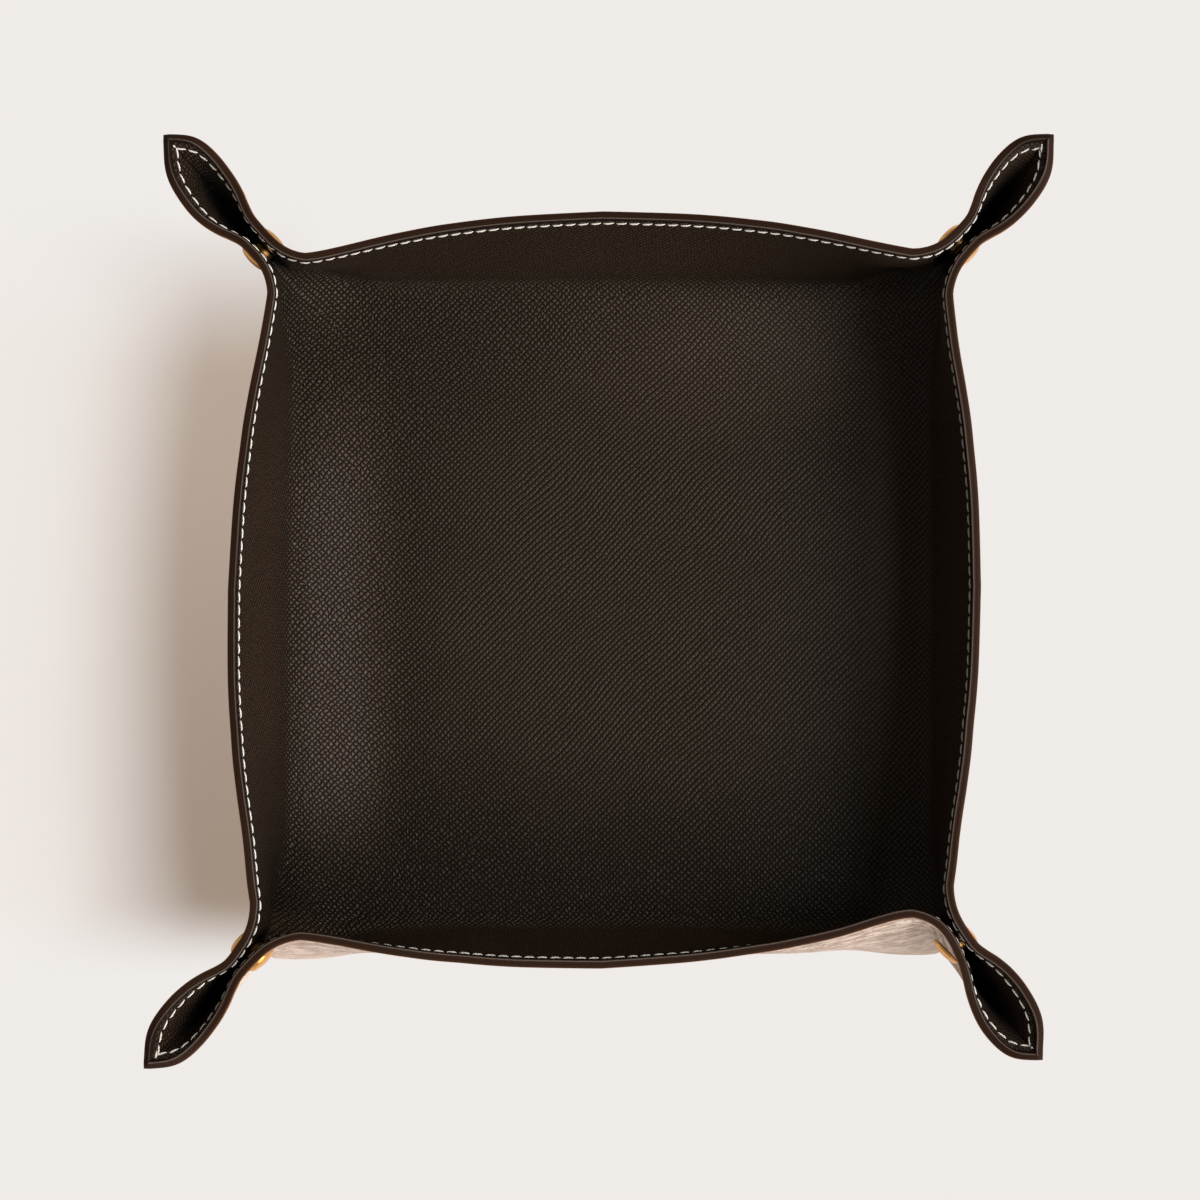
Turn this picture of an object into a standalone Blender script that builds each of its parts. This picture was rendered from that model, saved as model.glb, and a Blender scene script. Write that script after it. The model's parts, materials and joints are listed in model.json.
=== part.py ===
# Leather snap tray: a square two-layer leather sheet whose four corners are pinched by press studs.
# The frame is metres, +Z up, +Y is the north wall, and the origin is the floor's centre on the table.
# The leather is one sheet on the real tray. Here it is parted at its folds, so that the folds can move.

import math

import bmesh
import bpy
from mathutils import Matrix, Vector

mm = 0.001

# Driving dimensions
fold_half = 105 * mm            # floor centre to a wall's fold, on the glue line between the layers
wall_height = 52 * mm           # leather from the fold to the rim, laid flat
wall_bow = 12 * mm              # how far the middle of a rim leans out past its fold
ear_reach = 52.4 * mm           # floor corner to the tip of an ear, along the diagonal
ear_belly = 8 * mm              # widest half width of the leaf between an ear's halves, on the glue line
ear_dip = 1.6 * mm              # how far the rim of an ear sinks between the pinch and the tip
inner_leather = 1.2 * mm        # dark grained lining
outer_leather = 1.2 * mm        # pale outside leather
board_thickness = 1.2 * mm      # stiffener between the two layers of the floor
glue_gap = 0.3 * mm             # between two layers that are glued
seam_gap = 0.3 * mm             # between two pieces that are one sheet on the real tray
seam_relief = math.radians(1.2)  # the seam down an ear's ridge widens towards its foot by this angle

# Corner pinch
pinch_gap = 3.2 * mm            # between the lining of an ear's halves at the rim, over the press stud
corner_gap = 0.8 * mm           # between the same faces down at the floor corner
corner_relief = 9 * mm          # leather left out round the point where the folds meet
pinch_start = 1.2 * mm          # floor corner to the hinge line of an ear, along the diagonal, at the rim

# Press stud
snap_out = 6.6 * mm             # floor corner to the stud's axis, along the diagonal
snap_height = 39 * mm           # table to the stud's axis
cap_radius = 5.2 * mm
cap_rim = 0.5 * mm
cap_dome = 1.5 * mm
clamp_thickness = 2.1 * mm      # leather squeezed between cap and socket
snap_stack = 3.4 * mm           # between the two seats that face each other in the pinch
snap_clearance = 0.3 * mm
post_radius = 1.1 * mm
flare_radius = 1.75 * mm
flare_thickness = 0.2 * mm
plate_thickness = 0.35 * mm
socket_flange_radius = 4.3 * mm
socket_body_radius = 3.6 * mm
socket_depth = 2.0 * mm
socket_cavity_radius = 2.6 * mm
socket_mouth_radius = 2.3 * mm
socket_lip = 0.4 * mm
stud_flange_radius = 4.0 * mm
stud_neck_radius = 1.75 * mm
stud_head_radius = 2.0 * mm
stud_head_height = 0.5 * mm
stud_length = 1.6 * mm          # back of the stud's flange to the top of its head
stud_bore_depth = 1.25 * mm
stud_chamfer = 0.2 * mm

# Floor
floor_corner_radius = 4 * mm
board_inset = 1.5 * mm
board_corner_radius = 3 * mm

# Mesh density
wall_steps = 2                  # grid columns for each stretch of a wall's rim
ear_steps = 1
sheet_rows = 2
cap_segments = 16
ring_segments = 12
dome_steps = 4
corner_points = 5
merge_distance = 0.01 * mm

# Worked out from the sizes above
sheet_half = (inner_leather + outer_leather + glue_gap) / 2
fold_height = outer_leather / 2                            # glue line's height at the fold
pinch_line = pinch_gap / 2 + glue_gap / 2 + inner_leather  # glue line's distance from the diagonal plane
apex_line = corner_gap / 2 + glue_gap / 2 + inner_leather
fold_end = fold_half - apex_line * math.sqrt(2)            # where a wall's fold stops, short of the corner
seat_in = snap_stack / 2
seat_out = seat_in + clamp_thickness

# Rim of half a wall: distance along it as a share of fold_half, lean as a share of wall_bow
wall_rim_shares = [(0, 1), (0.27, 0.93), (0.46, 0.77), (0.61, 0.53), (0.79, 0.175), (0.92, -0.03),
                   (0.957, 0.04)]
# Rim of half an ear: distance as a share of ear_reach, width between pinch_line (0) and ear_belly (1)
ear_rim_shares = [(0.13, 0.0), (0.24, 0.06), (0.32, 0.29), (0.41, 0.63), (0.52, 0.9), (0.65, 1.0),
                  (0.79, 0.84), (0.89, 0.4)]
# Past the diagonal plane, where the plane trims the leather: shares of ear_reach and of ear_belly
ear_tip_shares = [(1.0, 0.0), (1.06, -0.38), (1.12, -0.76)]

brass_colour = (0.72, 0.5, 0.2, 1)
lining_colour = (0.022, 0.014, 0.011, 1)
outside_colour = (0.62, 0.43, 0.34, 1)
board_colour = (0.35, 0.3, 0.24, 1)


def clear_scene():
    for item in list(bpy.data.objects):
        bpy.data.objects.remove(item, do_unlink=True)


def make_collection(name):
    group = bpy.data.collections.new(name)
    bpy.context.scene.collection.children.link(group)
    return group


def make_material(name, colour, roughness, metallic):
    material = bpy.data.materials.new(name)
    material.use_nodes = True
    shader = material.node_tree.nodes["Principled BSDF"]
    shader.inputs["Base Color"].default_value = colour
    shader.inputs["Roughness"].default_value = roughness
    shader.inputs["Metallic"].default_value = metallic
    material.diffuse_color = colour
    return material


def add_object(name, mesh, group, material=None):
    item = bpy.data.objects.new(name, mesh)
    group.objects.link(item)
    if material is not None and not mesh.materials:
        mesh.materials.append(material)
    return item


def hide_cutter(item):
    item.hide_render = True
    item.display_type = "WIRE"


def smooth_path(knots, steps):
    """Points on a smooth curve through the knots, with so many steps from each knot to the next."""
    points = []
    for index in range(len(knots) - 1):
        before = knots[max(index - 1, 0)]
        start, end = knots[index], knots[index + 1]
        after = knots[min(index + 2, len(knots) - 1)]
        for step in range(steps):
            t = step / steps
            points.append(0.5 * (2 * start + (end - before) * t
                                 + (2 * before - 5 * start + 4 * end - after) * t ** 2
                                 + (3 * start - before - 3 * end + after) * t ** 3))
    return points + [knots[-1]]


def at_corner(along, across, height):
    """A point given along the north-east diagonal from the floor corner, and across it to the north."""
    return Vector((fold_half + (along - across) / math.sqrt(2),
                   fold_half + (along + across) / math.sqrt(2), fold_height + height))


def apex():
    return Vector((fold_end, fold_half, fold_height))


def wall_rim():
    """Rim of the north wall's east half: bowed out in the middle, turning out into the ear at its end."""
    knots = []
    for along, lean in wall_rim_shares:
        out = lean * wall_bow
        knots.append(Vector((along * fold_half, fold_half + out,
                             fold_height + math.sqrt(wall_height ** 2 - out ** 2))))
    knots.append(at_corner(pinch_start, pinch_line, wall_height))
    return smooth_path(knots, wall_steps)


def ear_rim():
    """Rim of the north half of the north-east ear, from its hinge to past the diagonal plane."""
    knots = [at_corner(pinch_start, pinch_line, wall_height)]
    for along, width in ear_rim_shares:
        dip = ear_dip * math.sin(math.pi * along)
        knots.append(at_corner(along * ear_reach, pinch_line + width * (ear_belly - pinch_line),
                               wall_height - dip))
    for along, width in ear_tip_shares:
        knots.append(at_corner(along * ear_reach, width * ear_belly, wall_height))
    return smooth_path(knots, ear_steps)


def wall_foot(rim, turn_share):
    """Lower end of the straight line that carries a rim point, on the fold or round the apex."""
    hollow = wall_rim_shares[-2][0] * fold_half
    if turn_share <= 0:
        return Vector((fold_end * rim.x / hollow, fold_half, fold_height))
    return apex() + (rim - apex()).normalized() * corner_relief * turn_share


def wall_columns():
    """Foot and rim of each straight line of the north wall, from its west end to its east end."""
    rim = wall_rim()
    turn_start = (len(wall_rim_shares) - 2) * wall_steps
    turn_count = len(rim) - 1 - turn_start
    half = [(wall_foot(point, (index - turn_start) / turn_count), point) for index, point in enumerate(rim)]
    other = [(mirrored(foot), mirrored(point)) for foot, point in reversed(half[1:])]
    return trimmed_ends(other + half)


def trimmed_ends(columns):
    """The same columns with both ends drawn back by half a seam gap."""
    result = list(columns)
    for end, inside in ((0, 1), (-1, -2)):
        foot, rim = columns[end]
        toward = (columns[inside][1] - rim).normalized() * seam_gap / 2
        result[end] = (foot + toward, rim + toward)
    return result


def ear_columns():
    """Foot and rim of each straight line of the ear's north half, a fan from the apex."""
    columns = []
    for point in ear_rim():
        ray = point - apex()
        columns.append((apex() + ray.normalized() * corner_relief, point))
    foot, rim = columns[0]
    toward = (columns[1][1] - rim).normalized() * seam_gap / 2
    columns[0] = (foot + toward, rim + toward)
    return columns


def mirrored(point):
    return Vector((-point.x, point.y, point.z))


def sheet_mesh(name, columns, side, thickness):
    """One leather layer on the glue surface: side is 1 for the outside layer and -1 for the lining."""
    bm = bmesh.new()
    grid = []
    for foot, rim in columns:
        grid.append([bm.verts.new(foot.lerp(rim, row / sheet_rows)) for row in range(sheet_rows + 1)])
    for left, right in zip(grid, grid[1:]):
        for row in range(sheet_rows):
            bm.faces.new((left[row], left[row + 1], right[row + 1], right[row]))
    bm.normal_update()
    moves = [(vert, vert.normal * side * glue_gap / 2) for vert in bm.verts]
    for vert, move in moves:
        vert.co += move
    mesh = bpy.data.meshes.new(name)
    bm.to_mesh(mesh)
    bm.free()
    item = bpy.data.objects.new(name, mesh)
    bpy.context.scene.collection.objects.link(item)
    shell = item.modifiers.new("layer", "SOLIDIFY")
    shell.thickness = thickness
    shell.offset = side
    shell.use_even_offset = True
    return item


def finished_mesh(item):
    """The object's evaluated mesh, with the object removed."""
    bpy.context.view_layer.update()
    graph = bpy.context.evaluated_depsgraph_get()
    mesh = bpy.data.meshes.new_from_object(item.evaluated_get(graph), depsgraph=graph)
    mesh.name = item.name
    bpy.data.objects.remove(item, do_unlink=True)
    return mesh


def cut(item, cutter):
    knife = item.modifiers.new(cutter.name, "BOOLEAN")
    knife.operation = "DIFFERENCE"
    knife.object = cutter


def turned_object(name, profile, segments, group, closed):
    """A profile of (radius, height) points turned round Z by a Screw modifier."""
    bm = bmesh.new()
    verts = [bm.verts.new((radius, 0, height)) for radius, height in profile]
    for first, second in zip(verts, verts[1:]):
        bm.edges.new((first, second))
    if closed:
        bm.edges.new((verts[-1], verts[0]))
    mesh = bpy.data.meshes.new(name)
    bm.to_mesh(mesh)
    bm.free()
    item = bpy.data.objects.new(name, mesh)
    group.objects.link(item)
    turn = item.modifiers.new("turn", "SCREW")
    turn.steps = segments
    turn.render_steps = segments
    turn.use_merge_vertices = True
    turn.merge_threshold = merge_distance
    turn.use_smooth_shade = False
    return item


def snap_frame(side):
    """Place of the north-east press stud, with Z along its axis, to the north half for side 1."""
    outward = Vector((-side, side, 0)).normalized()
    up = Vector((0, 0, 1))
    frame = Matrix((up.cross(outward), up, outward)).transposed().to_4x4()
    frame.translation = at_corner(snap_out, 0, snap_height - fold_height)
    return frame


def make_seam_cutter(group):
    """A block over all that lies past the diagonal plane, seen from the north half."""
    size = 4 * ear_reach
    bm = bmesh.new()
    bmesh.ops.create_cube(bm, size=size)
    mesh = bpy.data.meshes.new("seam_cutter")
    bm.to_mesh(mesh)
    bm.free()
    item = add_object("seam_cutter", mesh, group)
    item.matrix_world = (Matrix.Translation(at_corner(ear_reach / 2, seam_gap / 2, wall_height))
                         @ Matrix.Rotation(math.pi / 4, 4, "Z") @ Matrix.Rotation(seam_relief, 4, "X")
                         @ Matrix.Translation((0, -size / 2, 0)))
    hide_cutter(item)
    return item


def make_snap_cutter(group):
    """Seats of cap and socket, and the post's hole, in the leather of the north half."""
    overrun = 4 * cap_dome
    cap_seat = cap_radius + snap_clearance
    socket_seat = socket_flange_radius + snap_clearance
    hole = post_radius + snap_clearance
    profile = [(0, seat_out + overrun), (cap_seat, seat_out + overrun), (cap_seat, seat_out),
               (hole, seat_out), (hole, seat_in), (socket_seat, seat_in), (socket_seat, -overrun),
               (0, -overrun)]
    item = turned_object("snap_cutter", profile, ring_segments, group, closed=False)
    item.matrix_world = snap_frame(1)
    hide_cutter(item)
    return item


def make_sheet_meshes(cutters):
    """Meshes of the north wall and of the north-east ear's north half, two layers each."""
    seam = make_seam_cutter(cutters)
    snap = make_snap_cutter(cutters)
    meshes = {}
    for layer, side, thickness in (("inner", -1, inner_leather), ("outer", 1, outer_leather)):
        meshes["wall", layer] = finished_mesh(sheet_mesh("wall_" + layer, wall_columns(), side, thickness))
        ear = sheet_mesh("ear_" + layer, ear_columns(), side, thickness)
        cut(ear, seam)
        cut(ear, snap)
        meshes["ear", layer] = finished_mesh(ear)
    return meshes


def flipped_copy(mesh):
    """The mesh mirrored in X, with its faces pointing out again."""
    copy = mesh.copy()
    copy.transform(Matrix.Scale(-1, 4, (1, 0, 0)))
    copy.flip_normals()
    return copy


def cap_profile(post_end, flared):
    """Domed brass cap with its post, from the crown down to the post's end."""
    underside = seat_out + snap_clearance
    profile = []
    for step in range(dome_steps + 1):
        angle = math.pi / 2 * (1 - step / dome_steps)
        profile.append((cap_radius * math.cos(angle), underside + cap_rim + cap_dome * math.sin(angle)))
    profile[0] = (0, profile[0][1])
    profile += [(cap_radius, underside), (post_radius, underside)]
    if flared:
        profile += [(post_radius, post_end + flare_thickness), (flare_radius, post_end + flare_thickness),
                    (flare_radius, post_end)]
    else:
        profile.append((post_radius, post_end))
    return profile + [(0, post_end)]


def socket_profile():
    """Socket ring: the plate that the cap's post holds, the cavity, and the lip that grips the stud."""
    back = seat_in - snap_clearance
    mouth = back - socket_depth
    hole = post_radius + snap_clearance
    return [(hole, back), (socket_flange_radius, back), (socket_flange_radius, back - plate_thickness),
            (socket_body_radius, back - plate_thickness), (socket_body_radius, mouth),
            (socket_mouth_radius, mouth), (socket_mouth_radius, mouth + socket_lip),
            (socket_cavity_radius, mouth + socket_lip), (socket_cavity_radius, back - plate_thickness),
            (hole, back - plate_thickness)]


def stud_profile():
    """Stud: a hollow head on a flange, which the back cap's post enters from behind."""
    back = seat_in - snap_clearance
    bore = post_radius + snap_clearance
    crown = back - stud_length
    return [(0, back - stud_bore_depth), (bore, back - stud_bore_depth), (bore, back),
            (stud_flange_radius, back), (stud_flange_radius, back - plate_thickness),
            (stud_neck_radius, back - plate_thickness), (stud_neck_radius, crown + stud_head_height + stud_chamfer),
            (stud_head_radius, crown + stud_head_height), (stud_head_radius, crown + stud_chamfer),
            (stud_head_radius - stud_chamfer, crown), (0, crown)]


def make_snap_meshes(group):
    """Meshes of the four brass pieces of a press stud, in the frame of the north-east corner."""
    back = seat_in - snap_clearance
    cap_end = back - plate_thickness - snap_clearance - flare_thickness
    back_cap_end = back - stud_bore_depth + snap_clearance
    pieces = (("cap", cap_profile(cap_end, True), cap_segments, False, 1),
              ("socket", socket_profile(), ring_segments, True, 1),
              ("stud", stud_profile(), ring_segments, False, -1),
              ("back_cap", cap_profile(back_cap_end, False), cap_segments, False, -1))
    meshes = {}
    for name, profile, segments, closed, side in pieces:
        mesh = finished_mesh(turned_object(name, profile, segments, group, closed))
        mesh.transform(snap_frame(side))
        mesh.shade_smooth()
        mesh.set_sharp_from_angle(angle=math.radians(35))
        meshes[name] = mesh
    return meshes


def make_floor_panel(name, half, radius, low, thickness, group, material):
    """A flat square with rounded corners, lying from low up to low + thickness."""
    outline = bpy.data.curves.new(name, "CURVE")
    outline.dimensions = "2D"
    outline.fill_mode = "BOTH"
    outline.extrude = thickness / 2
    points = []
    for quarter in range(4):
        centre = Vector((half - radius, half - radius, 0))
        for step in range(corner_points):
            angle = math.pi / 2 * step / (corner_points - 1)
            point = centre + radius * Vector((math.cos(angle), math.sin(angle), 0))
            points.append(Matrix.Rotation(math.pi / 2 * quarter, 3, "Z") @ point)
    spline = outline.splines.new("POLY")
    spline.points.add(len(points) - 1)
    for target, point in zip(spline.points, points):
        target.co = (point.x, point.y, 0, 1)
    spline.use_cyclic_u = True
    item = bpy.data.objects.new(name, outline)
    group.objects.link(item)
    item.location.z = low + thickness / 2
    bpy.context.view_layer.update()
    place = item.matrix_world.copy()
    mesh = finished_mesh(item)
    bm = bmesh.new()
    bm.from_mesh(mesh)
    bmesh.ops.remove_doubles(bm, verts=bm.verts, dist=merge_distance)
    bmesh.ops.recalc_face_normals(bm, faces=bm.faces)
    bm.to_mesh(mesh)
    bm.free()
    panel = add_object(name, mesh, group, material)
    panel.matrix_world = place
    return panel


def make_floor(group, materials):
    """Outside leather, stiffener board and lining of the floor, stacked from the table up."""
    half = fold_half - glue_gap / 2 - inner_leather - seam_gap
    board_low = outer_leather + glue_gap
    lining_low = board_low + board_thickness + glue_gap
    make_floor_panel("floor_outer", half, floor_corner_radius, 0, outer_leather, group, materials["outer"])
    make_floor_panel("base_board", half - board_inset, board_corner_radius, board_low, board_thickness, group,
                     materials["board"])
    make_floor_panel("floor_inner", half, floor_corner_radius, lining_low, inner_leather, group,
                     materials["inner"])


def hinge_empty(name, point, turn, group):
    """An empty on a fold's axis, which its pieces are parented to."""
    empty = bpy.data.objects.new(name, None)
    empty.empty_display_size = corner_relief
    group.objects.link(empty)
    empty.matrix_world = turn @ Matrix.Translation(point)
    return empty


def hang(item, empty, turn):
    """Parent a piece to its fold's empty, with its place in the world given by turn."""
    bpy.context.view_layer.update()
    item.parent = empty
    item.matrix_parent_inverse = empty.matrix_world.inverted()
    item.matrix_world = turn


def place_sides(group, meshes, snaps, materials):
    """The north side's pieces, and the same pieces turned to the other three sides."""
    sides = ("north", "west", "south", "east")
    corners = {"north": ("ne", "nw"), "west": ("nw", "sw"), "south": ("sw", "se"), "east": ("se", "ne")}
    fold_axis = Vector((0, fold_half + glue_gap / 2 + outer_leather, fold_height))
    hinge_foot = at_corner(pinch_start, pinch_line - glue_gap / 2 - inner_leather, wall_height)
    for number, side in enumerate(sides):
        turn = Matrix.Rotation(math.pi / 2 * number, 4, "Z")
        wall_fold = hinge_empty("fold_" + side, fold_axis, turn, group)
        for layer in ("inner", "outer"):
            wall = add_object("wall_%s_%s" % (side, layer), meshes["wall", layer], group, materials[layer])
            hang(wall, wall_fold, turn)
        for corner, hand in zip(corners[side], (1, -1)):
            foot = hinge_foot if hand == 1 else mirrored(hinge_foot)
            ear_fold = hinge_empty("fold_ear_%s_%s" % (corner, side), foot, turn, group)
            ear_fold.parent = wall_fold
            ear_fold.matrix_parent_inverse = wall_fold.matrix_world.inverted()
            for layer in ("inner", "outer"):
                mesh = meshes["ear", layer] if hand == 1 else flipped_copy(meshes["ear", layer])
                ear = add_object("ear_%s_%s_%s" % (corner, side, layer), mesh, group, materials[layer])
                hang(ear, ear_fold, turn)
            # The stud's own half of the corner belongs to the next side, so it is turned back one side
            brass = (("cap", "socket"), turn) if hand == 1 else (
                ("stud", "back_cap"), turn @ Matrix.Rotation(math.pi / 2, 4, "Z"))
            for name in brass[0]:
                piece = add_object("snap_%s_%s" % (corner, name), snaps[name], group, materials["brass"])
                hang(piece, ear_fold, brass[1])


def main():
    clear_scene()
    parts = make_collection("leather_tray")
    cutters = make_collection("cutters")
    materials = {"inner": make_material("lining_leather", lining_colour, 0.55, 0),
                 "outer": make_material("outside_leather", outside_colour, 0.6, 0),
                 "board": make_material("stiffener_board", board_colour, 0.9, 0),
                 "brass": make_material("brass", brass_colour, 0.25, 1)}
    make_floor(parts, materials)
    meshes = make_sheet_meshes(cutters)
    snaps = make_snap_meshes(parts)
    place_sides(parts, meshes, snaps, materials)
    bpy.context.view_layer.update()


main()
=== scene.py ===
import json
import math

import bmesh
import bpy
import numpy as np
from mathutils import Matrix, Vector

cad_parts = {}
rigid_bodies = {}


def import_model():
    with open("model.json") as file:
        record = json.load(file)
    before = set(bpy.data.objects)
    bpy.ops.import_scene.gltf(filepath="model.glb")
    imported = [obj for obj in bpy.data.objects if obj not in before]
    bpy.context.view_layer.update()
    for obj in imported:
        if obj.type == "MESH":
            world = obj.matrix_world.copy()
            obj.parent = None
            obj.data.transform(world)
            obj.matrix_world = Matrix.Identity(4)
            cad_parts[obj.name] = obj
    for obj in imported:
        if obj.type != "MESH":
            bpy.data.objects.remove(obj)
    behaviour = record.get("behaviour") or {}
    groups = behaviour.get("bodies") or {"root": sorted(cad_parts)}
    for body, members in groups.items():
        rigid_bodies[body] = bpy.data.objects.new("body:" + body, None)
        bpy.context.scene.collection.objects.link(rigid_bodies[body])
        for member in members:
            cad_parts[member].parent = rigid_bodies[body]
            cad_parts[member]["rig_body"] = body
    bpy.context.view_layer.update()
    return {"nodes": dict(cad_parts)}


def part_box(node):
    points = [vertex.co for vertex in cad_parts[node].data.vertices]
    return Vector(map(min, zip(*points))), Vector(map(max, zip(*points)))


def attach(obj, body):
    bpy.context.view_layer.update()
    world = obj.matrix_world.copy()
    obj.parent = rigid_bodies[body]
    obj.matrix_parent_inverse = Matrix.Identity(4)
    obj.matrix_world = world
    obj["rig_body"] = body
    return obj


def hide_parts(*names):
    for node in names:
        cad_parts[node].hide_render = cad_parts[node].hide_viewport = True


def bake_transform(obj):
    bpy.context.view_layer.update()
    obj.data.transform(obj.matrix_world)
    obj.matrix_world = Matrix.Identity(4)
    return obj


mm = 0.001
root2 = math.sqrt(2)

print("leather tray: loading the frame")
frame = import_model()

# Main form of the sheet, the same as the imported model's, with softer folds
sheet = {
    "foldHalf": 105 * mm,           # floor centre to a wall's fold, on the glue line
    "wallHeight": 52 * mm,
    "wallBow": 12 * mm,             # how far the middle of a rim leans out
    "earReach": 52.4 * mm,
    "earBelly": 8 * mm,
    "earDip": 1.6 * mm,
    "pinchStart": 1.2 * mm,
    "pinchLine": 2.95 * mm,         # glue line to the diagonal plane, at the rim over the press stud
    "apexLine": 1.75 * mm,          # the same at the floor corner
    "foldHeight": 0.6 * mm,
    "innerFace": -1.35 * mm,        # the leather's four faces, measured outwards from the glue line
    "innerBack": -0.15 * mm,
    "outerBack": 0.15 * mm,
    "outerFace": 1.35 * mm,
    "floorReach": 21.35 * mm,       # floor leather that belongs to a wall's piece
    "innerFold": (4.5 * mm, 6 * mm),        # half length of the rounded fold, at mid wall and at a corner
    "outerFold": (3.5 * mm, 8 * mm),
    "foldChange": 0.55,             # share of the fold where its corner form begins
    "cornerBulge": 4.5 * mm,        # the folds curve outwards into each corner
    "bulgeStart": (0.86, 0.70),     # shares of the fold where they begin to, along it and across
    "bulgeFade": ((4 * mm, 20 * mm), (6 * mm, 32 * mm)),    # along the floor, and up the wall
    "hollowRise": 17 * mm,          # the floor runs up into each corner in a smooth hollow
    "hollowReach": 31 * mm,
    "hollowFade": (0, 34 * mm),
    "hollowGrain": 0.45,            # share of the rise by which the grain follows
    "earParting": 9 * mm,
    "earTuck": 0.75,                # an ear is slimmer below its rim
    "earTuckEnd": 8 * mm,
    "nearCorner": -30 * mm,
    "wallSpacing": 1.7 * mm,        # between columns of cells
    "earSpacing": 1.2 * mm,
    "earPieceStart": -2.6 * mm,     # where an ear's own piece takes over from the wall's, along the diagonal
    "earPieceRow": 4 * mm,
    "ringEase": 0.985,              # how evenly the columns are spread where the floor's own piece begins
    "floorCells": 48,
}

# Rim of half a wall: distance along it as a share of foldHalf, lean as a share of wallBow
wallRimShares = [(0, 1), (0.27, 0.93), (0.46, 0.77), (0.61, 0.53), (0.79, 0.175), (0.92, -0.03),
                 (0.957, 0.04)]
# Rim of half an ear: distance as a share of earReach, width between pinchLine and earBelly
earRimShares = [(0.13, 0.0), (0.24, 0.06), (0.32, 0.29), (0.41, 0.63), (0.52, 0.9), (0.65, 1.0), (0.79, 0.84),
                (0.89, 0.4)]
earTipShares = [(1.0, 0.0), (1.06, -0.38), (1.12, -0.76)]

# How the soft rim really stands, off the regular form, in mm east and north: eight runs in turn, from the
# middle of the north wall to the north-east tip, from there to the middle of the east wall, and so on
rimLean = {
    "places": (0, 45, 75, 92, 106, 118, 136),       # mm from the middle of a wall, along the rim
    "shifts": (
        ((0.0, 1.1), (0.1, 0.8), (0.9, 1.3), (2.0, 1.0), (3.6, 0.6), (3.1, 0.8), (1.1, 0.8)),
        ((-2.6, 0.2), (-1.6, -1.8), (0.9, -1.9), (3.6, -0.4), (2.8, -1.9), (1.3, -1.6), (-0.3, -0.2)),
        ((-0.4, 1.6), (-0.5, 3.4), (1.6, 4.4), (3.3, 3.9), (2.7, 1.4), (-0.2, 1.7), (-3.6, 1.1)),
        ((-6.7, -1.5), (-2.5, -1.8), (0.6, 0.5), (3.7, 4.0), (2.2, 5.7), (1.4, 3.6), (0.6, 3.3)),
        ((0.6, 1.0), (1.7, 0.3), (2.2, -1.9), (2.0, -2.5), (-0.4, -3.4), (-0.8, -4.2), (-0.6, -5.1)),
        ((1.8, -6.0), (1.4, -5.1), (0.6, -5.0), (-1.7, -5.0), (-2.8, -2.5), (-1.2, -0.6), (0.5, 0.5)),
        ((1.3, -0.1), (2.3, -1.0), (1.5, -1.3), (0.9, -1.1), (0.6, 0.0), (2.4, -1.6), (3.9, -2.5)),
        ((4.2, 1.0), (0.8, 1.3), (0.4, 1.4), (0.4, 0.6), (0.6, -0.4), (0.5, -0.0), (0.4, 0.0))),
    "rise": (1.5, 0.6),             # how the shift grows with height, on a wall and on an ear
    "earBlend": 12 * mm,
    "smoothing": 8,
    "neckReach": (5 * mm, 11 * mm),
    "neckPasses": 24,
}

# The south wall swells outwards near both its corners
southSwell = {
    # mm east of the middle, and mm outwards
    "places": (-130, -118, -112, -107, -103, -97, -85, -75, -65, -45, 30, 60, 90, 100, 105, 110, 118, 130),
    "sizes": (0, -2.2, -1.5, 0.8, 2.4, 4.6, 5.6, 4.8, 2.8, 1.0, 0.8, 4.0, 3.8, 2.2, 1.0, -0.5, -1.2, 0),
    "peak": 0.65,                   # exponent that sets the height of the widest place
    "northEnd": -90 * mm,           # only leather south of this swells
    "smoothing": 12,
}

# The lining is kept behind the outside leather in the fold below the south-east press stud
foldTuck = {
    "place": (105.5 * mm, 18 * mm),
    "reach": (4 * mm, 12 * mm),
    "size": 2.6 * mm,
    "westEnd": 60 * mm,
}

# The leather lies flat between a press stud's cap and its ring
snapSeat = {
    "along": 6.6 * mm,
    "height": 39 * mm,
    "shifts": ((1.7, 0.5), (0.8, 1.2), (0.1, -2.5), (1.2, -0.2)),      # mm east and north, at each corner
    # the leather's four faces there, from the diagonal plane
    "faces": {"innerFace": 1.7 * mm, "innerBack": 2.65 * mm, "outerBack": 2.85 * mm, "outerFace": 3.8 * mm},
    "reach": (5.6 * mm, 9.5 * mm),      # the dent's flat middle and its end
    "flatten": 0.8,                 # the dent is longer along the ear than it's high
    "mostPush": 2.6 * mm,
}

stitchLine = {
    "inset": 2.9 * mm,              # rim to the thread
    "groove": 0.16 * mm,
    "grooveWidth": 0.55 * mm,
    "grooveRows": (-0.9, -0.5, -0.25, 0, 0.25, 0.5, 0.9),       # mm from the thread
}

cornerOrder = ("ne", "se", "sw", "nw")
sideNames = ("north", "east", "south", "west")
cornerOfSide = {"north": ("nw", "ne"), "east": ("ne", "se"), "south": ("se", "sw"), "west": ("sw", "nw")}


def unit(vectors):
    return vectors / np.maximum(np.linalg.norm(vectors, axis=-1, keepdims=True), 1e-12)


def easeStep(value, low, high):
    t = np.clip((value - low) / (high - low), 0, 1)
    return t * t * (3 - 2 * t)


def smoothed(values, passes):
    for step in range(passes):
        values = (np.roll(values, 1, axis=0) + 2 * values + np.roll(values, -1, axis=0)) / 4
    return values


def facing(vertices, corners):
    # the way that a flat polygon faces, from three of its corners
    a, b, c = (vertices[corner] for corner in corners)
    return unit(np.cross(b - a, c - a))


def addObject(name, data):
    made = bpy.data.objects.new(name, data)
    bpy.context.scene.collection.objects.link(made)
    return made


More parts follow.
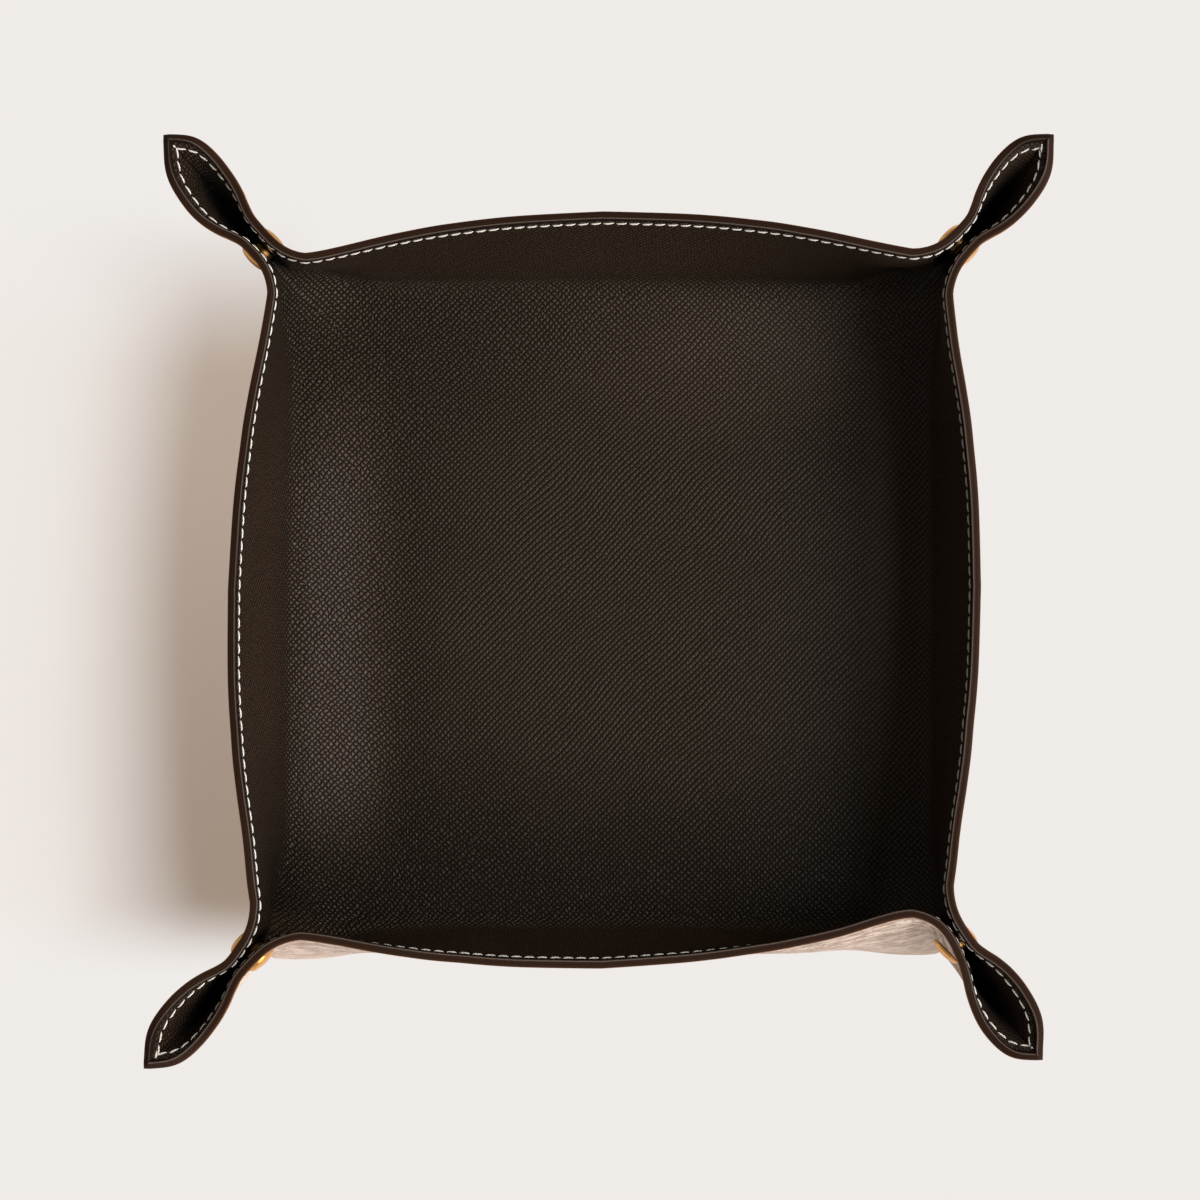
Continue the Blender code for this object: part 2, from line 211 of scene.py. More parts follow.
def atCorner(along, across, height):
    # a point along the north-east diagonal from the floor corner, and across it to the north
    half = sheet["foldHalf"]
    return np.array([half + (along - across) / root2, half + (along + across) / root2,
                     sheet["foldHeight"] + height])


def cornerFrame(points):
    # the same two numbers, read back from points
    along = (points[..., 0] + points[..., 1] - 2 * sheet["foldHalf"]) / root2
    across = (points[..., 1] - points[..., 0]) / root2
    return along, across


def pushOff(points, size):
    # moves points across the diagonal plane, back towards it
    points[..., 0] += size / root2
    points[..., 1] -= size / root2


def smoothPath(knots, steps):
    points = []
    for index in range(len(knots) - 1):
        before, start = knots[max(index - 1, 0)], knots[index]
        end, after = knots[index + 1], knots[min(index + 2, len(knots) - 1)]
        for t in np.arange(steps) / steps:
            points.append(0.5 * (2 * start + (end - before) * t
                                 + (2 * before - 5 * start + 4 * end - after) * t ** 2
                                 + (3 * start - before - 3 * end + after) * t ** 3))
    return np.array(points + [knots[-1]])


def rimKnots():
    knots = []
    half = sheet["foldHalf"]
    for along, lean in wallRimShares:
        out = lean * sheet["wallBow"]
        rise = math.sqrt(sheet["wallHeight"] ** 2 - out ** 2)
        knots.append(np.array([along * half, half + out, sheet["foldHeight"] + rise]))
    knots.append(atCorner(sheet["pinchStart"], sheet["pinchLine"], sheet["wallHeight"]))
    for along, width in earRimShares:
        dip = sheet["earDip"] * math.sin(math.pi * along)
        across = sheet["pinchLine"] + width * (sheet["earBelly"] - sheet["pinchLine"])
        knots.append(atCorner(along * sheet["earReach"], across, sheet["wallHeight"] - dip))
    for along, width in earTipShares:
        knots.append(atCorner(along * sheet["earReach"], width * sheet["earBelly"], sheet["wallHeight"]))
    return knots


def octantRim():
    # columns of half a wall and half an ear: rim points, their distance along the rim, and the hinge's place
    dense = smoothPath(rimKnots(), 40)
    along, across = cornerFrame(dense)
    dense = dense[:int(np.argmax(across * (along > 0) < 0)) + 1]
    length = np.concatenate([[0], np.cumsum(np.linalg.norm(np.diff(dense, axis=0), axis=1))])
    along = cornerFrame(dense)[0]
    near = along > sheet["nearCorner"]
    hinge = np.interp(sheet["pinchStart"], along[near], length[near])
    split = np.interp(sheet["earPieceStart"], along[near], length[near])
    wallCount = round(split / sheet["wallSpacing"])
    earCount = round((length[-1] - split) / sheet["earSpacing"])
    places = np.concatenate([np.linspace(0, split, wallCount + 1),
                             np.linspace(split, length[-1], earCount + 1)[1:]])
    rim = np.stack([np.interp(places, length, dense[:, axis]) for axis in range(3)], axis=1)
    tipAlong = cornerFrame(rim[-1])[0]
    rim[-1] = atCorner(tipAlong, 0, rim[-1][2] - sheet["foldHeight"])
    return rim, places, hinge, wallCount


def columnShares(rim, places, hinge):
    # how far each column's foot is along the fold, and how far round the ear's ridge
    hollow = wallRimShares[-2][0] * sheet["foldHalf"]
    foldShare = np.clip(rim[:, 0] / hollow, 0, 1)
    foldShare[places > 0.8 * hinge] = np.maximum.accumulate(foldShare)[places > 0.8 * hinge]
    earShare = np.clip((places - hinge) / (places[-1] - hinge), 0, 1)
    return foldShare, earShare


def footPoints(offset, height, foldShare, earShare):
    # lower ends of the columns for the face that lies this far outside the glue line
    half = sheet["foldHalf"]
    radius = sheet["apexLine"] + offset
    cornerX = half + offset - root2 * radius
    straight = -(cornerX - half + offset) / root2
    turnStart = 0.4
    points = []
    for fold, ear in zip(foldShare, earShare):
        if ear <= 0:
            points.append([fold * cornerX, half + offset, height])
            continue
        turn = max(ear - turnStart, 0) / (1 - turnStart) * math.pi / 2
        along = radius * math.sin(turn) - straight * max(1 - ear / turnStart, 0)
        point = atCorner(along, radius * math.cos(turn), 0)
        points.append([point[0], point[1], height])
    return np.array(points)


def rimNormals(rim, foot):
    # outward normals at the rim, lengthened where the rim turns so that the leather keeps its thickness
    mirrorStart = rim[1] * np.array([-1, 1, 1])
    mirrorEnd = rim[-2][[1, 0, 2]]
    line = np.vstack([mirrorStart, rim, mirrorEnd])
    before = unit(line[1:-1] - line[:-2])
    after = unit(line[2:] - line[1:-1])
    tangent = unit(before + after)
    upward = unit(rim - foot)
    normal = unit(np.cross(upward, tangent))
    stretch = 1 / np.clip(np.sum(before * tangent, axis=1), 0.7, 1)
    return normal * stretch[:, None], upward


def dentAtSnaps(faceName, middle):
    # leather pressed flat between a cap and its ring, all four faces by the same shares
    seat, loop = snapSeat, faces[faceName]
    count = len(loop) // 8
    for part in range(8):
        center, out, axis = (np.array(item) for item in snapAxes(part // 2, 1 if part % 2 == 0 else -1))
        columns = slice(part * count, (part + 1) * count + 1)
        away = middle[columns] - center
        distance = np.hypot(seat["flatten"] * (away @ out), away[..., 2])
        push = seat["faces"][faceName] - (loop[columns] - center) @ axis
        push = np.clip(push, -seat["mostPush"], seat["mostPush"]) * (1 - easeStep(distance, *seat["reach"]))
        loop[columns] += push[..., None] * axis


def sheetRows():
    reach, height = sheet["floorReach"] / mm, sheet["wallHeight"] / mm
    groove = height - stitchLine["inset"] / mm
    rows = list(np.linspace(-reach, -8, 8)) + list(np.arange(-6.5, 20, 1.5))
    rows += list(np.linspace(rows[-1], groove - 1.4, 15)[1:])
    rows += [groove + row for row in stitchLine["grooveRows"]]
    rows += list(np.linspace(rows[-1], height, 5)[1:])
    return np.array(rows) * mm


def octantFace(offset, height, foldPair):
    # grid of one face of the leather, columns by rows, with its flat-sheet and rim coordinates
    rim, places, hinge, split = octantRim()
    foldShare, earShare = columnShares(rim, places, hinge)
    middleFoot = footPoints(0, sheet["foldHeight"], foldShare, earShare)
    normal, upward = rimNormals(rim, middleFoot)
    foot = footPoints(offset, height, foldShare, earShare)
    top = rim + normal * offset
    ring = sheet["foldHalf"] - sheet["floorReach"]
    spread = np.linspace(0, 1, len(rim)) ** 8 * (foldShare >= 1)
    startX = ring * (sheet["ringEase"] * foldShare + (1 - sheet["ringEase"]) * spread)
    startX[-1] = ring
    startX = np.maximum.accumulate(startX)
    start = np.stack([startX, np.full(len(rim), ring), np.full(len(rim), height)], axis=1)

    rows = sheetRows()
    upStep = (top - foot) / sheet["wallHeight"]
    inStep = (start - foot) / sheet["floorReach"]
    closeness = easeStep(foldShare, sheet["foldChange"], 1)
    fold = foldPair[0] + (foldPair[1] - foldPair[0]) * closeness
    q = rows[None, :]
    r = fold[:, None]
    rounded = np.where(np.abs(q) < r, (q + r) ** 2 / (4 * r), np.maximum(q, 0))
    inward = np.where(np.abs(q) < r, (r - q) ** 2 / (4 * r), np.maximum(-q, 0))
    # an ear's columns share the floor corner: they leave it as one, and then part
    hingeColumn = int(np.argmax(places > hinge)) - 1
    parting = np.where(places[:, None] > hinge, easeStep(q, 0, sheet["earParting"]), 1.0)
    rising = upStep[hingeColumn] + (upStep - upStep[hingeColumn])[:, None] * parting[..., None]
    points = foot[:, None] + rising * rounded[..., None] + inStep[:, None] * inward[..., None]
    bulge = sheet["cornerBulge"] * np.where(q < 0, 1 - easeStep(-q, *sheet["bulgeFade"][0]),
                                           1 - easeStep(q, *sheet["bulgeFade"][1]))
    bulge = np.stack([bulge * easeStep(foldShare, begin, 1)[:, None] for begin in sheet["bulgeStart"]],
                     axis=-1)
    points[..., :2] += bulge
    corner = sheet["foldHalf"] + offset + sheet["cornerBulge"]
    away = np.hypot(corner - points[..., 0], corner - points[..., 1]) / sheet["hollowReach"]
    lift = sheet["hollowRise"] * np.clip(1 - away, 0, 1) ** 2 * (1 - easeStep(q, *sheet["hollowFade"]))
    if offset < 0:
        points[..., 2] = height + np.hypot(points[..., 2] - height, lift)
    # an ear hangs straight down from its rim where it would be wider lower down
    along, across = cornerFrame(points)
    tuck = (sheet["earTuck"] * easeStep(places - hinge, 0, sheet["earTuckEnd"])[:, None]
            * np.sin(math.pi * np.clip(q / sheet["wallHeight"], 0, 1)))
    slim = tuck * np.clip(across - sheet["apexLine"] - offset, 0, None)
    pushOff(points, slim)
    limit = np.interp(along, *cornerFrame(top[hingeColumn:]))
    over = np.clip(across - slim - limit, 0, None)
    pushOff(points, np.where((places[:, None] > hinge) & (q > 0), over, 0))

    if offset in (sheet["innerFace"], sheet["outerFace"]):
        press = stitchLine["groove"] * np.exp(-((rows - sheet["wallHeight"] + stitchLine["inset"])
                                                / stitchLine["grooveWidth"]) ** 2)
        points -= normal[:, None] * (press * np.sign(offset))[None, :, None]
    # the last column lies in the diagonal plane
    points[-1, :, :2] = points[-1, :, :2].mean(axis=-1, keepdims=True)

    half, wall = sheet["foldHalf"], sheet["wallHeight"]
    rimU = np.where(places <= hinge, half * places / hinge,
                    half + wall * (places - hinge) / (places[-1] - hinge))
    flatFoot = np.stack([half * foldShare, np.full(len(rim), half)], axis=1)
    flatRim = np.stack([rimU, np.full(len(rim), half + wall)], axis=1)
    flatStart = start[:, :2] * half / (half + sheet["innerFace"])
    share = np.clip(rows, 0, None) / wall
    inside = np.clip(-rows, 0, None) / sheet["floorReach"]
    flat = (flatFoot[:, None] * (1 - share - inside)[None, :, None] + flatRim[:, None] * share[None, :, None]
            + flatStart[:, None] * inside[None, :, None])
    # the grain isn't stretched with the corner
    flat += bulge + sheet["hollowGrain"] * lift[..., None]
    return points, flat, places, split, hingeColumn, upward


def wholeLoop(octant):
    # eight octants in a closed loop, clockwise from the middle of the north wall
    swapped = octant[::-1].copy()
    swapped[..., [0, 1]] = swapped[..., [1, 0]]
    quarter = np.concatenate([octant[:-1], swapped[:-1]])
    loops = []
    for turn in range(4):
        loops.append(quarter.copy())
        x, y = quarter[..., 0].copy(), quarter[..., 1].copy()
        quarter[..., 0], quarter[..., 1] = y, -x
    return np.concatenate(loops)


def snapAxes(corner, hand):
    # centre of a press stud, the way out along the ear, and its axis away from the diagonal plane
    signX, signY = ((1, 1), (1, -1), (-1, -1), (-1, 1))[corner]
    out = Vector((signX, signY, 0)).normalized()
    axis = Vector((-out.y, out.x, 0)) * hand
    east, north = snapSeat["shifts"][corner]
    center = (out * (sheet["foldHalf"] * root2 + snapSeat["along"])
              + Vector((east * mm, north * mm, snapSeat["height"])))
    return center, out, axis


def leanRim(loop, rows, rimPlace):
    # the rim's own stance, fading to nothing at the fold
    lean = rimLean
    full = rimPlace[-1] + (rimPlace[1] - rimPlace[0])
    run = full / 8
    knots, shifts = [], []
    for part, shiftRow in enumerate(lean["shifts"]):
        marks = np.array(lean["places"]) * mm
        if part % 2:
            marks = run - np.append(marks, run)[::-1][:-1]
        knots.extend(part * run + marks)
        shifts.extend(shiftRow)
    shifts = np.array(shifts) * mm
    moved = np.stack([np.interp(rimPlace, knots, shifts[:, axis], period=full) for axis in (0, 1)], axis=1)
    moved = smoothed(moved, lean["smoothing"])
    fromTip, neck = np.abs(rimPlace % (2 * run) - run), run - hingePlace
    onEar = easeStep(fromTip, neck + lean["earBlend"], neck)[:, None]
    rise = lean["rise"][0] + (lean["rise"][1] - lean["rise"][0]) * onEar
    share = np.clip(rows / sheet["wallHeight"], 0, 1)[None, :]
    loop[..., :2] += moved[:, None, :] * (share ** rise)[..., None]
    # the rim turns into an ear's neck in a round bend
    mask = ((1 - easeStep(np.abs(fromTip - neck), *lean["neckReach"]))[:, None] * share)[..., None]
    for step in range(lean["neckPasses"]):
        mean = (np.roll(loop[..., :2], 1, axis=0) + np.roll(loop[..., :2], -1, axis=0)) / 2
        loop[..., :2] += mask * (mean - loop[..., :2]) * 0.5
    return loop


def swellSouth(loop, rows):
    swell = southSwell
    size = np.interp(loop[:, -1, 0], np.array(swell["places"]) * mm, np.array(swell["sizes"]) * mm)
    size[loop[:, -1, 1] > swell["northEnd"]] = 0
    size = smoothed(size, swell["smoothing"])
    share = np.clip(rows / sheet["wallHeight"], 0, 1)
    loop[..., 1] -= size[:, None] * np.sin(math.pi * share ** swell["peak"])[None, :]
    return loop


def tuckLining(loop):
    distance = np.hypot(loop[..., 0] - foldTuck["place"][0], loop[..., 2] - foldTuck["place"][1])
    southEast = (loop[:, -1, 0] > foldTuck["westEnd"]) & (loop[:, -1, 1] < -loop[:, -1, 0])
    loop[..., 1] += foldTuck["size"] * (1 - easeStep(distance, *foldTuck["reach"])) * southEast[:, None]


def gridNormals(points, direction):
    across = np.roll(points, -1, axis=0) - np.roll(points, 1, axis=0)
    for corner in range(4):
        # an ear's columns lie on each other at the floor corner, so its whole width counts there
        middle = (2 * corner + 1) * octantCount
        left, right = middle - earColumns, middle + earColumns
        own = across[left:right + 1]
        wide = unit(points[right] - points[left]) * 0.4 * mm
        share = easeStep(np.linalg.norm(own, axis=-1, keepdims=True), 0.05 * mm, 0.5 * mm)
        across[left:right + 1] = own * share + wide * (1 - share)
    up = np.gradient(points, axis=1)
    return unit(np.cross(across, up)) * direction


print("leather tray: shaping the sheet")
floorHeights = {
    "innerFace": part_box("floor_inner")[1].z,
    "innerBack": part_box("floor_inner")[0].z,
    "outerBack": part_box("floor_outer")[1].z,
    "outerFace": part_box("floor_outer")[0].z,
}
sheetRowPlaces = sheetRows()
rowCount = len(sheetRowPlaces)
octantColumns = octantFace(0, sheet["foldHeight"], sheet["innerFold"])
octantFlat, places, splitColumn, hingeColumn, octantUp = octantColumns[1:]
flatLoop = wholeLoop(octantFlat)
rimUp = wholeLoop(octantUp[:, None, :])[:, 0]
octantCount = len(places) - 1
earColumns = octantCount - hingeColumn + 1
hingePlace = places[hingeColumn]
columnCount = 8 * octantCount
rimPlace = np.concatenate([places[:-1], 2 * places[-1] - places[::-1][:-1]])
rimPlace = np.concatenate([rimPlace + 2 * places[-1] * turn for turn in range(4)])
faces = {}
for faceName, foldPair in (("innerFace", sheet["innerFold"]), ("innerBack", sheet["innerFold"]),
                           ("outerBack", sheet["outerFold"]), ("outerFace", sheet["outerFold"])):
    loop = wholeLoop(octantFace(sheet[faceName], floorHeights[faceName], foldPair)[0])
    faces[faceName] = swellSouth(leanRim(loop, sheetRowPlaces, rimPlace), sheetRowPlaces)
glued = (faces["innerBack"] + faces["outerBack"]) / 2
for faceName in faces:
    dentAtSnaps(faceName, glued)
for faceName in ("innerFace", "innerBack"):
    tuckLining(faces[faceName])
loopNormals = {"innerFace": gridNormals(faces["innerFace"], 1),
               "outerFace": gridNormals(faces["outerFace"], -1)}


def pieceColumns():
    # for each body, the first column of its cells and how many cells it has
    spans = {}
    wallCells = splitColumn
    earCells = octantCount - splitColumn
    for index, side in enumerate(sideNames):
        middle = index * 2 * octantCount
        spans["wall_" + side] = (middle - wallCells, 2 * wallCells)
        before, after = cornerOfSide[side]
        spans["ear_%s_%s" % (before, side)] = (middle - octantCount, earCells)
        spans["ear_%s_%s" % (after, side)] = (middle + wallCells, earCells)
    return spans


bodySpans = pieceColumns()
earRow = int(np.argmin(np.abs(sheetRowPlaces - sheet["earPieceRow"])))


def bodyCells(body):
    # the grid cells that a body's piece is made of, as (column, row)
    def block(start, columns, low, high):
        return [(column, row) for column in range(start, start + columns) for row in range(low, high)]

    first, count = bodySpans[body]
    if body.startswith("ear_"):
        return block(first, count, earRow, rowCount - 1)
    earCells = octantCount - splitColumn
    return (block(first, count, 0, rowCount - 1) + block(first - earCells, earCells, 0, earRow)
            + block(first + count, earCells, 0, earRow))


def placesAlong(name, columns):
    # places along the rim, in one run over the middle of the north side too
    along = rimPlace[columns]
    return along - 8 * places[-1] * (name.endswith("_north") & (along > 4 * places[-1]))


def addPiece(name, vertices, polygons, material, uvLayers=None, cornerNormals=None):
    mesh = bpy.data.meshes.new(name)
    mesh.from_pydata([tuple(vertex) for vertex in vertices], [], polygons)
    for layerName, values in (uvLayers or {}).items():
        layer = mesh.uv_layers.new(name=layerName)
        layer.uv.foreach_set("vector", np.asarray(values, np.float32).ravel())
    mesh.materials.append(material)
    mesh.shade_smooth()
    if cornerNormals is not None:
        mesh.normals_split_custom_set([tuple(normal) for normal in cornerNormals])
    return addObject(name, mesh)


def shellPiece(name, cells, shownFace, backFace, material):
    # a closed leather piece: its shown face, its glued face, and strips between them all round
    shown, back, normals = faces[shownFace], faces[backFace], loopNormals[shownFace]
    flipped = shownFace == "outerFace"
    index, order = {}, []

    def corner(column, row):
        key = (column % columnCount, row)
        if key not in index:
            index[key] = len(order)
            order.append(key)
        return index[key]

    quads, edges = [], {}
    for column, row in cells:
        quad = [corner(column + east, row + up) for east, up in ((0, 0), (1, 0), (1, 1), (0, 1))]
        if flipped:
            quad.reverse()
        quads.append(quad)
        for first, second in zip(quad, quad[1:] + quad[:1]):
            if (second, first) in edges:
                del edges[second, first]
            else:
                edges[first, second] = True
    total = len(order)
    columns = np.array([key[0] for key in order])
    rows = np.array([key[1] for key in order])
    vertices = np.vstack([shown[columns, rows], back[columns, rows]])
    polygons = [[total + vertex for vertex in reversed(quad)] for quad in quads]
    polygons += [[second, first, total + first, total + second] for first, second in edges]
    cornerNormals = list(normals[columns, rows][np.concatenate(quads)])
    for polygon in polygons:
        cornerNormals.extend([facing(vertices, polygon[:3])] * 4)
    loops = np.concatenate(quads + polygons) % total
    rimFrame = np.stack([placesAlong(name, columns), sheetRowPlaces[rows]], axis=1)
    return addPiece(name, vertices, quads + polygons, material,
                    {"flatSheet": flatLoop[columns, rows][loops], "rimFrame": rimFrame[loops]}, cornerNormals)


def floorPiece(name, low, high, material):
    # the middle of the floor, a flat plate that ends where the walls' pieces begin
    half = sheet["foldHalf"] - sheet["floorReach"]
    cells = sheet["floorCells"]
    line = np.linspace(-half, half, cells + 1)
    gridX, gridY = np.meshgrid(line, line, indexing="ij")
    count = (cells + 1) ** 2
    plane = np.stack([gridX.ravel(), gridY.ravel(), np.zeros(count)], axis=1)
    vertices = np.vstack([plane + [0, 0, high], plane + [0, 0, low]])
    polygons = []

    def at(i, j):
        return i * (cells + 1) + j

    for i in range(cells):
        for j in range(cells):
            quad = (at(i, j), at(i + 1, j), at(i + 1, j + 1), at(i, j + 1))
            polygons.append(quad)
            polygons.append(tuple(count + vertex for vertex in reversed(quad)))
    border = ([at(i, 0) for i in range(cells)] + [at(cells, j) for j in range(cells)]
              + [at(cells - i, cells) for i in range(cells)] + [at(0, cells - j) for j in range(cells)])
    for first, second in zip(border, border[1:] + border[:1]):
        polygons.append((second, first, count + first, count + second))
    loops = np.concatenate(polygons)
    flat = vertices[loops][:, :2] * sheet["foldHalf"] / (sheet["foldHalf"] + sheet["innerFace"])
    cornerNormals = []
    for polygon in polygons:
        cornerNormals.extend([facing(vertices, polygon[:3])] * 4)
    below = np.tile([0, -sheet["floorReach"]], (len(loops), 1))
    return addPiece(name, vertices, polygons, material, {"flatSheet": flat, "rimFrame": below}, cornerNormals)


class Wire:
    # an output socket that takes part in sums

    def __init__(self, paint, socket):
        self.paint, self.socket = paint, socket

    def maths(self, operation, other=None, flipped=False):
        values = [self] if other is None else [other, self] if flipped else [self, other]
        return self.paint.node("ShaderNodeMath", {"operation": operation}, dict(enumerate(values)))

    def __add__(self, other):
        return self.maths("ADD", other)

    def __radd__(self, other):
        return self.maths("ADD", other, True)

    def __sub__(self, other):
        return self.maths("SUBTRACT", other)

    def __rsub__(self, other):
        return self.maths("SUBTRACT", other, True)

    def __mul__(self, other):
        return self.maths("MULTIPLY", other)

    def __rmul__(self, other):
        return self.maths("MULTIPLY", other, True)

    def __pow__(self, other):
        return self.maths("POWER", other)


class Paint:
    # one material's node tree

    def __init__(self, name):
        self.material = bpy.data.materials.new(name)
        self.material.use_nodes = True
        self.tree = self.material.node_tree
        self.shader = self.tree.nodes["Principled BSDF"]

    def node(self, kind, settings, values, output=0):
        made = self.tree.nodes.new(kind)
        for key, value in settings.items():
            if key == "stops":
                ramp = made.color_ramp
                while len(ramp.elements) < len(value):
                    ramp.elements.new(1)
                for element, (place, colour) in zip(ramp.elements, value):
                    element.position = place
                    element.color = colour
            else:
                setattr(made, key, value)
        for key, value in values.items():
            self.feed(made.inputs[key], value)
        return Wire(self, made.outputs[output])

    def feed(self, socket, value):
        if isinstance(value, Wire):
            self.tree.links.new(value.socket, socket)
        else:
            socket.default_value = value

    def blendColour(self, factor, first, second, mode="MIX"):
        return self.node("ShaderNodeMix", {"data_type": "RGBA", "blend_type": mode},
                         {0: factor, 6: first, 7: second}, 2)

    def noise(self, vector, scale, detail=2.0, roughness=0.5, output=0):
        return self.node("ShaderNodeTexNoise", {}, {"Vector": vector, "Scale": scale, "Detail": detail,
                                                   "Roughness": roughness}, output)

    def vector(self, operation, values, output=0):
        return self.node("ShaderNodeVectorMath", {"operation": operation}, values, output)

    def ramp(self, value, low, high, start=0.0, end=1.0, kind="SMOOTHSTEP"):
        return self.node("ShaderNodeMapRange", {"interpolation_type": kind},
                         {"Value": value, 1: low, 2: high, 3: start, 4: end})

    def bump(self, distance, height, strength=1.0):
        return self.node("ShaderNodeBump", {}, {"Strength": strength, "Distance": distance, "Height": height})

    def place(self):
        return self.node("ShaderNodeTexCoord", {}, {}, 3)

    def layer(self, name):
        return self.node("ShaderNodeUVMap", {"uv_map": name}, {})

    def inMillimetres(self, vector):
        return self.vector("SCALE", {0: vector, "Scale": 1 / mm})

    def stray(self, moved, place, scale, detail, reach):
        # lets a place waver, by up to half the reach
        centred = self.vector("SUBTRACT", {0: self.noise(place, scale, detail, output=1), 1: (0.5, 0.5, 0.5)})
        return self.vector("ADD", {0: moved, 1: self.vector("SCALE", {0: centred, "Scale": reach})})

    def split(self, vector):
        parts = self.tree.nodes.new("ShaderNodeSeparateXYZ")
        self.feed(parts.inputs[0], vector)
        return Wire(self, parts.outputs[0]), Wire(self, parts.outputs[1])

    def finish(self, values):
        for key, value in values.items():
            self.feed(self.shader.inputs[key], value)
        return self.material


liningLook = {
    "ridgePitch": 1.5,              # mm between the long ridges
    "cellPitch": 1.38,              # mm between the cracks across them
    "relief": 0.38 * mm,
    # near black in the grain's cracks: painted shade there
    "crackShadeColour": (0.0025, 0.0014, 0.0008, 1),
    "topColours": ((0.030, 0.0174, 0.0066, 1), (0.041, 0.0238, 0.0090, 1)),
    # the walls are painted lighter and warmer than the floor, standing for how they are lit
    "wallTint": (1.3, 1.12, 1.0, 1),
    # the grey of a painted sheen, where the lining is painted lighter
    "sheenGreyTint": (0.97, 1.2, 2.3, 1),
    "strays": ((0.022, 1.0, 6.0), (0.21, 2.0, 0.8), (0.75, 1.0, 0.45)),     # scale, detail and reach in mm
    "borderStray": (0.5, 1.0, 1.1),
    "middle": 60.0,                 # mm from the floor's centre to where the grain gets more uneven
    "roughness": (0.42, 0.85),      # on the ridges, and in the cracks
}


def liningLeather(name, shadedInsideEar):
    # crossed diagonal grain: long ridges one way, finer cracks the other, both wavering
    look = liningLook
    paint = Paint(name)
    ramp = paint.ramp
    place = paint.inMillimetres(paint.layer("flatSheet"))
    eastward, northward = paint.split(place)
    fromMiddle = paint.vector("LENGTH", {0: place}, 1) - eastward * 0.3
    moved = place
    for scale, detail, reach in look["strays"]:
        moved = paint.stray(moved, place, scale, detail, reach)
    scale, detail, reach = look["borderStray"]
    moved = paint.stray(moved, place, scale, detail, ramp(fromMiddle, look["middle"], 110.0, 0.0, reach))
    x, y = paint.split(moved)
    ridgeWave = ((y - x) * (math.pi / root2 / look["ridgePitch"])).maths("SINE").maths("ABSOLUTE")
    cellWave = ((y + x) * (math.pi / root2 / look["cellPitch"])).maths("SINE").maths("ABSOLUTE")
    ridgeCrack = (1 - ridgeWave) ** 1.6
    cellCrack = (1 - cellWave) ** 1.9
    toBorder = fromMiddle + (paint.noise(place, 0.03) - 0.5) * look["middle"]
    crack = ridgeCrack.maths("MAXIMUM", cellCrack * ramp(toBorder, 45.0, 105.0, 0.42, 1.0))
    pebble = paint.noise(place, 1.1, 2.0, 0.6)
    height = ((1 - crack + pebble * 0.35) * ramp(eastward, -95.0, -50.0, 1.6, 1.0)
              * ramp(eastward, 20.0, 95.0, 1.0, 0.55))
    mottle = paint.noise(place, 0.05, 3.0, 0.6)
    topTone = paint.blendColour(mottle, *look["topColours"])
    # the grain's cracks are painted near black as shade, less so towards the right
    colour = paint.blendColour(crack ** 0.62 * ramp(eastward, 20.0, 95.0, 1.0, 0.85), topTone,
                               look["crackShadeColour"])
    # painted light and shade for how the lamps fall on the lining: lighter over the left and back folds, at
    # the right border and on the front wall, darker towards the right and the front of the floor
    left = (ramp(eastward, -108.0, -94.0, 0.25, 2.2) * ramp(eastward, -90.0, -62.0, 1.0, 0.0)
            * ramp(northward, 25.0, 85.0, 1.0, 0.15) * ramp(northward, -100.0, -60.0, 0.1, 1.0)
            * ramp(northward, -60.0, 0.0, 1.35, 1.0))
    back = (ramp(northward, 45.0, 90.0, 0.0, 1.0) * ramp(eastward, -60.0, 85.0, -0.1, 1.5)
            * ramp(northward, 98.0, 106.0, 1.0, 0.15))
    # painted light along the right border and up the right wall, where that wall shades the floor
    edge = ramp(eastward, 80.0, 94.0, 0.0, 1.4)
    # tone carries this painted light and shade into the colour
    tone = ((1 + left + back) * ramp(eastward, 20.0, 80.0, 1.0, 0.64)
            * ramp(northward, -95.0, -35.0, 0.66, 1.0) + edge + ramp(northward, -112.0, -101.0, 1.1, 0.0))
    # where the lining is painted lighter it is also painted greyer, as a painted sheen
    sheenGrey = paint.blendColour((left + back + edge) * 0.5, (1, 1, 1, 1), look["sheenGreyTint"])
    colour = paint.blendColour(1.0, colour, sheenGrey, "MULTIPLY")
    # painted light: the lining above the fold is lighter and warmer
    depth = paint.split(paint.layer("rimFrame"))[1]
    wallLit = paint.blendColour(1.0, colour, look["wallTint"], "MULTIPLY")
    colour = paint.blendColour(ramp(depth, 0.0, 14 * mm, 0.0, 1.0), colour, wallLit)
    # inside an ear the colour is painted shade instead: near black down in the fold, lining coloured only
    # near the rim
    if shadedInsideEar:
        tone = ramp(depth, 33 * mm, 50 * mm, 0.06, 1.1)
    return paint.finish({"Base Color": paint.vector("SCALE", {0: colour, "Scale": tone}),
                         "Roughness": ramp(crack, 0.0, 1.0, *look["roughness"]),
                         "Normal": paint.bump(look["relief"], height), "Specular IOR Level": 0.28})


outsideLook = {
    "pale": (0.84, 0.715, 0.63, 1),
    "shade": (0.68, 0.53, 0.44, 1),
    # the wrinkle lines' dark colour, painted shade in the creases
    "crease": (0.30, 0.19, 0.135, 1),
    "relief": 0.3 * mm,
    "stretch": (0.045, 0.16, 1),    # wrinkles are long along the rim
    "rimShare": (10 * mm, 38 * mm, 0.35, 1.0),      # creased most near the rim
}


